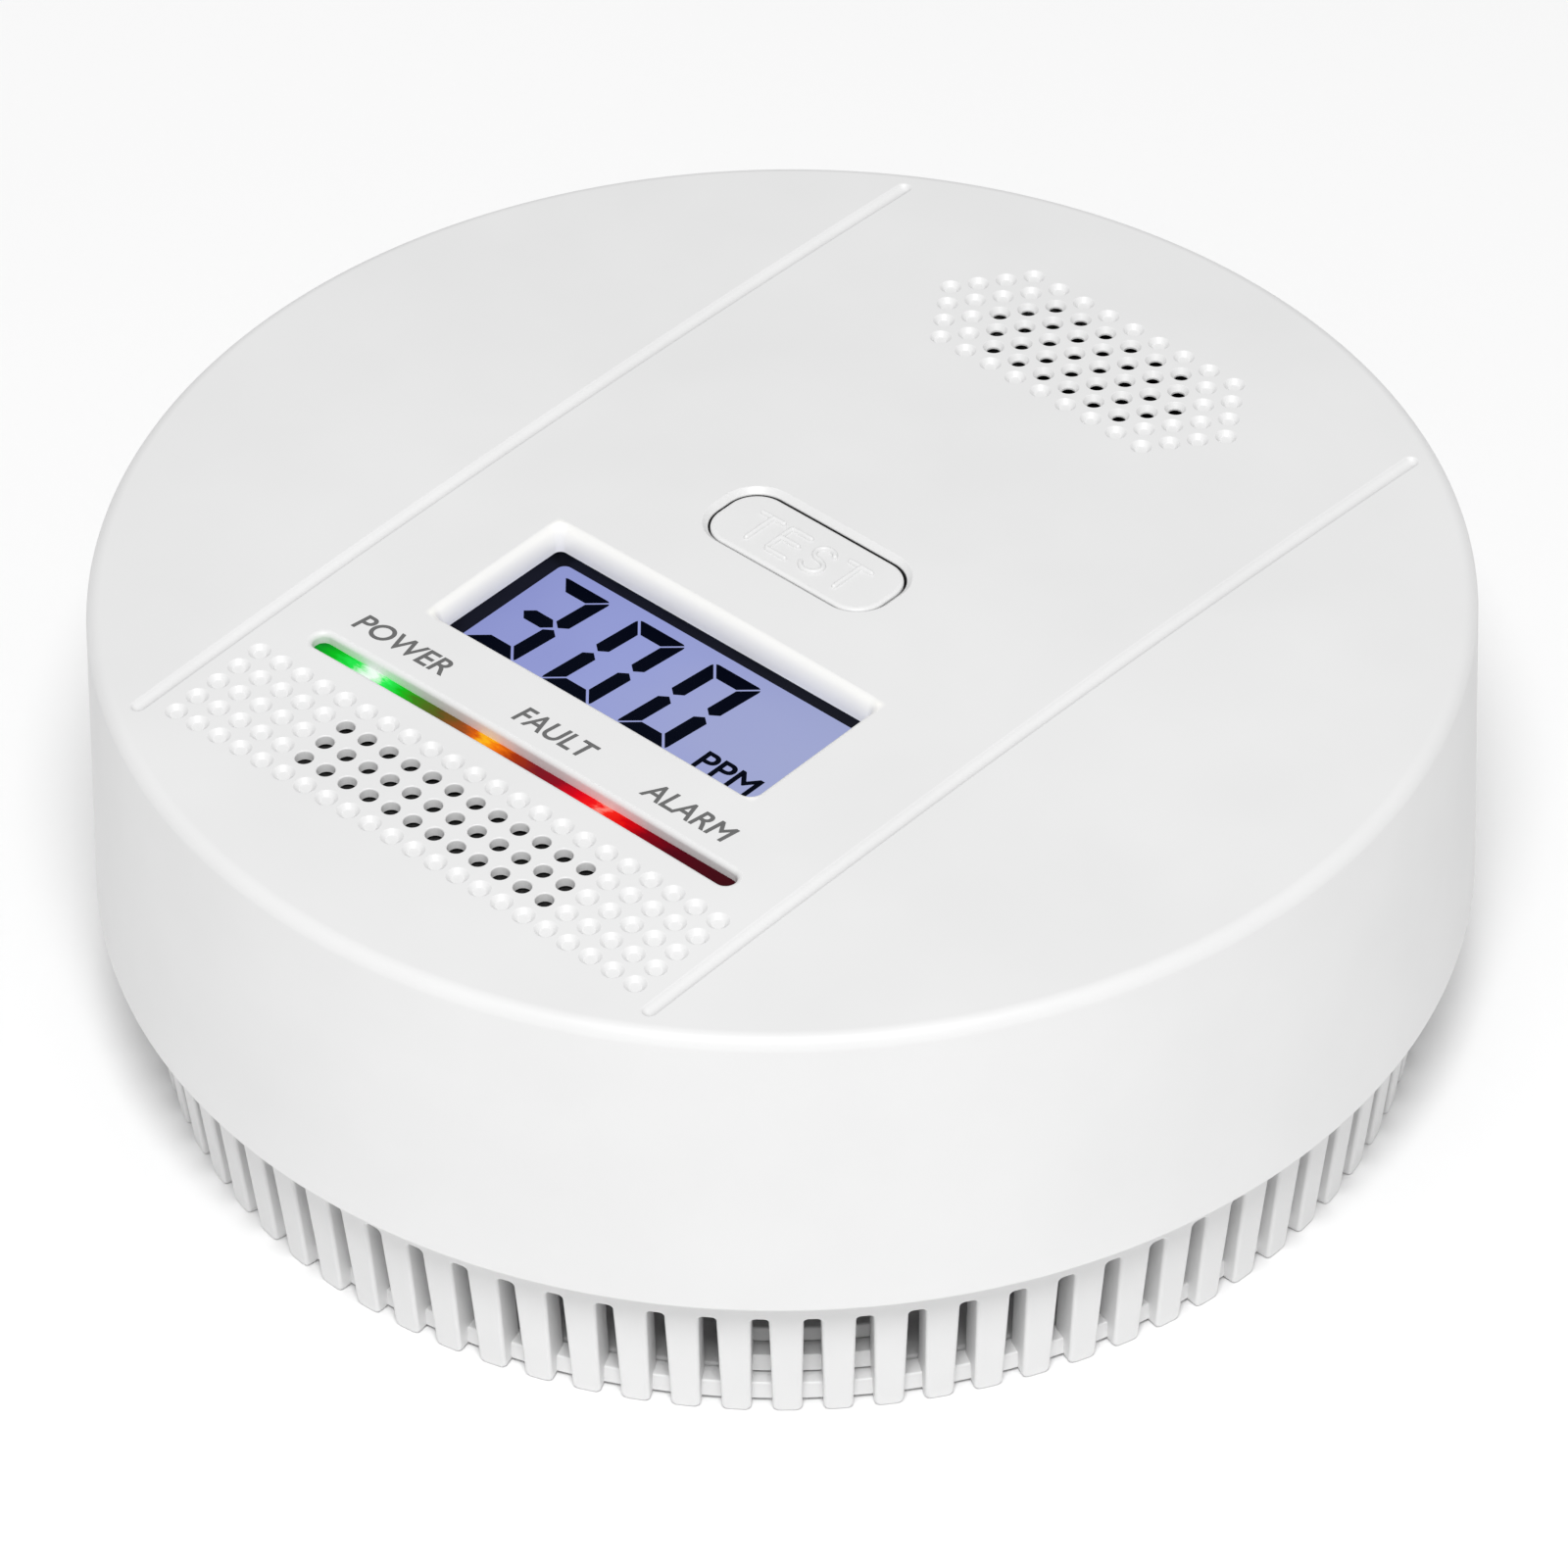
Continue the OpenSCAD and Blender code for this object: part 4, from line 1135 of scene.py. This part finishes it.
WHITE = (0.76, 0.76, 0.76)
NODE_LOOKS = {
    "frame_black": lambda: moulded("frame_black", (0.004, 0.004, 0.004), 0.5, Specular_IOR_Level=0.15),
    "light_guide": lambda: moulded("light_guide", (0.75, 0.77, 0.85), 0.3),
    "display_panel": lit_panel,
    "light_bar": lambda: moulded("bar_body", (0.5, 0.5, 0.5), 0.3),
    "rubber_grey": lambda: moulded("rubber_grey", (0.1, 0.1, 0.11), 0.8, 2500.0, 0.00002),
    "led_green": lambda: moulded("led_green", (0.03, 0.5, 0.08), 0.1, Transmission_Weight=0.5),
    "led_amber": lambda: moulded("led_amber", (0.8, 0.35, 0.02), 0.1, Transmission_Weight=0.5),
    "led_red": lambda: moulded("led_red", (0.6, 0.02, 0.02), 0.1, Transmission_Weight=0.5),
    "steel": lambda: metal("steel", (0.62, 0.62, 0.64), 0.3),
    "board_green": board_mask,
    "chip_black": lambda: moulded("chip_black", (0.02, 0.02, 0.02), 0.55, 2500.0, 0.00002),
    "capacitor_sleeve": lambda: moulded("capacitor_sleeve", (0.02, 0.03, 0.09), 0.3),
    "copper": lambda: metal("copper", (0.7, 0.32, 0.16), 0.35, 2500.0),
    "brass": lambda: metal("brass", (0.75, 0.55, 0.22), 0.3),
    "ceramic": lambda: moulded("ceramic", (0.7, 0.68, 0.6), 0.4, 3000.0, 0.00001, 0.06),
    "sensor_ivory": lambda: moulded("sensor_ivory", (0.7, 0.68, 0.58), 0.45),
    "gasket_black": lambda: moulded("gasket_black", (0.015, 0.015, 0.015), 0.85, 2500.0, 0.00003),
    "mesh_black": painted_shade_mesh,
    "cell_jacket": cell_jacket,
    "cover_white": lambda: moulded("cover_spare", WHITE, 0.42),
    "housing_white": lambda: moulded("housing_spare", WHITE, 0.45),
    "plate_white": lambda: moulded("plate_spare", WHITE, 0.45),
    "button_white": lambda: moulded("button_spare", WHITE, 0.42),
}


def dress(piece, material):
    piece.data.materials.clear()
    piece.data.materials.append(material)


def dress_cad_nodes():
    """Gives every CAD node the material of its slot in the record."""
    made = {}
    for row in frame["record"]["subparts"]:
        slot = row["material_slot"]
        if slot not in made:
            made[slot] = NODE_LOOKS[slot]()
        dress(frame["nodes"][row["node"]], made[slot])


def place_piece(piece, material, body, slot, *nodes):
    dress(piece, material)
    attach(piece, body)
    if nodes:
        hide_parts(*nodes)


# ---------- stage ----------

CAMERA_AT = Vector((477.324, -514.785, 608.242)) * MM
CAMERA_AXES = ((0.73893787, 0.67369787, -0.01009954), (-0.42698365, 0.47982227, 0.76645649),
               (0.52120609, -0.56205139, 0.64221682))


def make_camera():
    data = bpy.data.cameras.new("camera")
    data.lens = 277.6
    data.sensor_width = 36.0
    data.clip_start = 0.05
    data.clip_end = 20.0
    camera = bpy.data.objects.new("camera", data)
    turn = Matrix(CAMERA_AXES).transposed().to_4x4()
    camera.matrix_world = Matrix.Translation(CAMERA_AT) @ turn
    bpy.context.scene.collection.objects.link(camera)
    bpy.context.scene.camera = camera


def soft_light(name, at, size, power, target=(0, 0, 0.02)):
    data = bpy.data.lights.new(name, "AREA")
    data.shape = "DISK"
    data.size = size
    data.energy = power
    light = bpy.data.objects.new(name, data)
    light.location = at
    light.rotation_mode = "QUATERNION"
    light.rotation_quaternion = (Vector(at) - Vector(target)).to_track_quat("Z", "Y")
    bpy.context.scene.collection.objects.link(light)


def make_floor():
    half = 3.0
    mesh = bpy.data.meshes.new("floor")
    corners = [(-half, -half, 0), (half, -half, 0), (half, half, 0), (-half, half, 0)]
    mesh.from_pydata(corners, [], [(0, 1, 2, 3)])
    floor = link("floor", mesh)
    s = Shader("floor_paper").set(Roughness=0.9)
    s.feed("Base Color", s.ramp(s.noise(6.0), [(0.3, (0.93, 0.93, 0.93)), (0.7, (0.95, 0.95, 0.95))]))
    dress(floor, s.material)


def make_world():
    world = bpy.data.worlds.new("studio")
    world.use_nodes = True
    background = world.node_tree.nodes["Background"]
    background.inputs["Color"].default_value = (1.0, 1.0, 1.0, 1.0)
    background.inputs["Strength"].default_value = 0.5
    bpy.context.scene.world = world


def make_stage():
    make_floor()
    make_world()
    soft_light("key", (0.598, -0.646, 1.355), 0.5, 18.0)
    view = bpy.context.scene.view_settings
    view.view_transform = "Standard"
    view.look = "None"


# ---------- all pieces ----------

def make_all():
    dress_cad_nodes()
    # The walls of the display opening get painted light: a lighter white that stands in for the light the
    # recess lacks.
    face_white = moulded("cover_white", WHITE, 0.42, painted_light=window_wall_painted_light)
    ink = moulded("display_ink", (0.001, 0.002, 0.007), 0.6, Specular_IOR_Level=0.02)
    pieces = (
        (make_cover, face_white, "alarm", "cover_white", "front_cover"),
        (make_button, moulded("button_white", WHITE, 0.42), "button", "button_white", "test_button"),
        # The black lip is painted shade: it darkens the gap round the button.
        (make_gap_shade_lip, NODE_LOOKS["gasket_black"](), "alarm", "gasket_black"),
        (make_housing, moulded("housing_white", WHITE, 0.45), "alarm", "housing_white", "rear_housing"),
        (make_plate, moulded("plate_white", WHITE, 0.45), "wall_plate", "plate_white", "mounting_plate"),
        (make_bar, lit_bar(), "alarm", "light_bar", "light_bar"),
        (make_digits, ink, "alarm", "display_panel"),
    )
    for make, material, *places in pieces:
        place_piece(make(), material, *places)
    unit_label = make_text("display_unit", "PPM", UNIT_X, DIGIT_BASE + 0.05, UNIT_H, UNIT_W,
                           glass_level, UNIT_WEIGHT)
    place_piece(unit_label, ink, "alarm", "display_panel")
    grey = moulded("label_ink", (0.127, 0.127, 0.127), 0.6)
    labels = (("POWER", -19.88, -25.7, 9.12), ("FAULT", -3.42, -25.8, 7.05), ("ALARM", 9.46, -25.8, 8.0))
    for words, x, y, width in labels:
        label = make_text("label_" + words.lower(), words, x, y, LABEL_H, width,
                          dome_top, LABEL_WEIGHT, LABEL_SLANT)
        place_piece(label, grey, "alarm", "cover_white")


make_camera()
make_stage()
make_all()
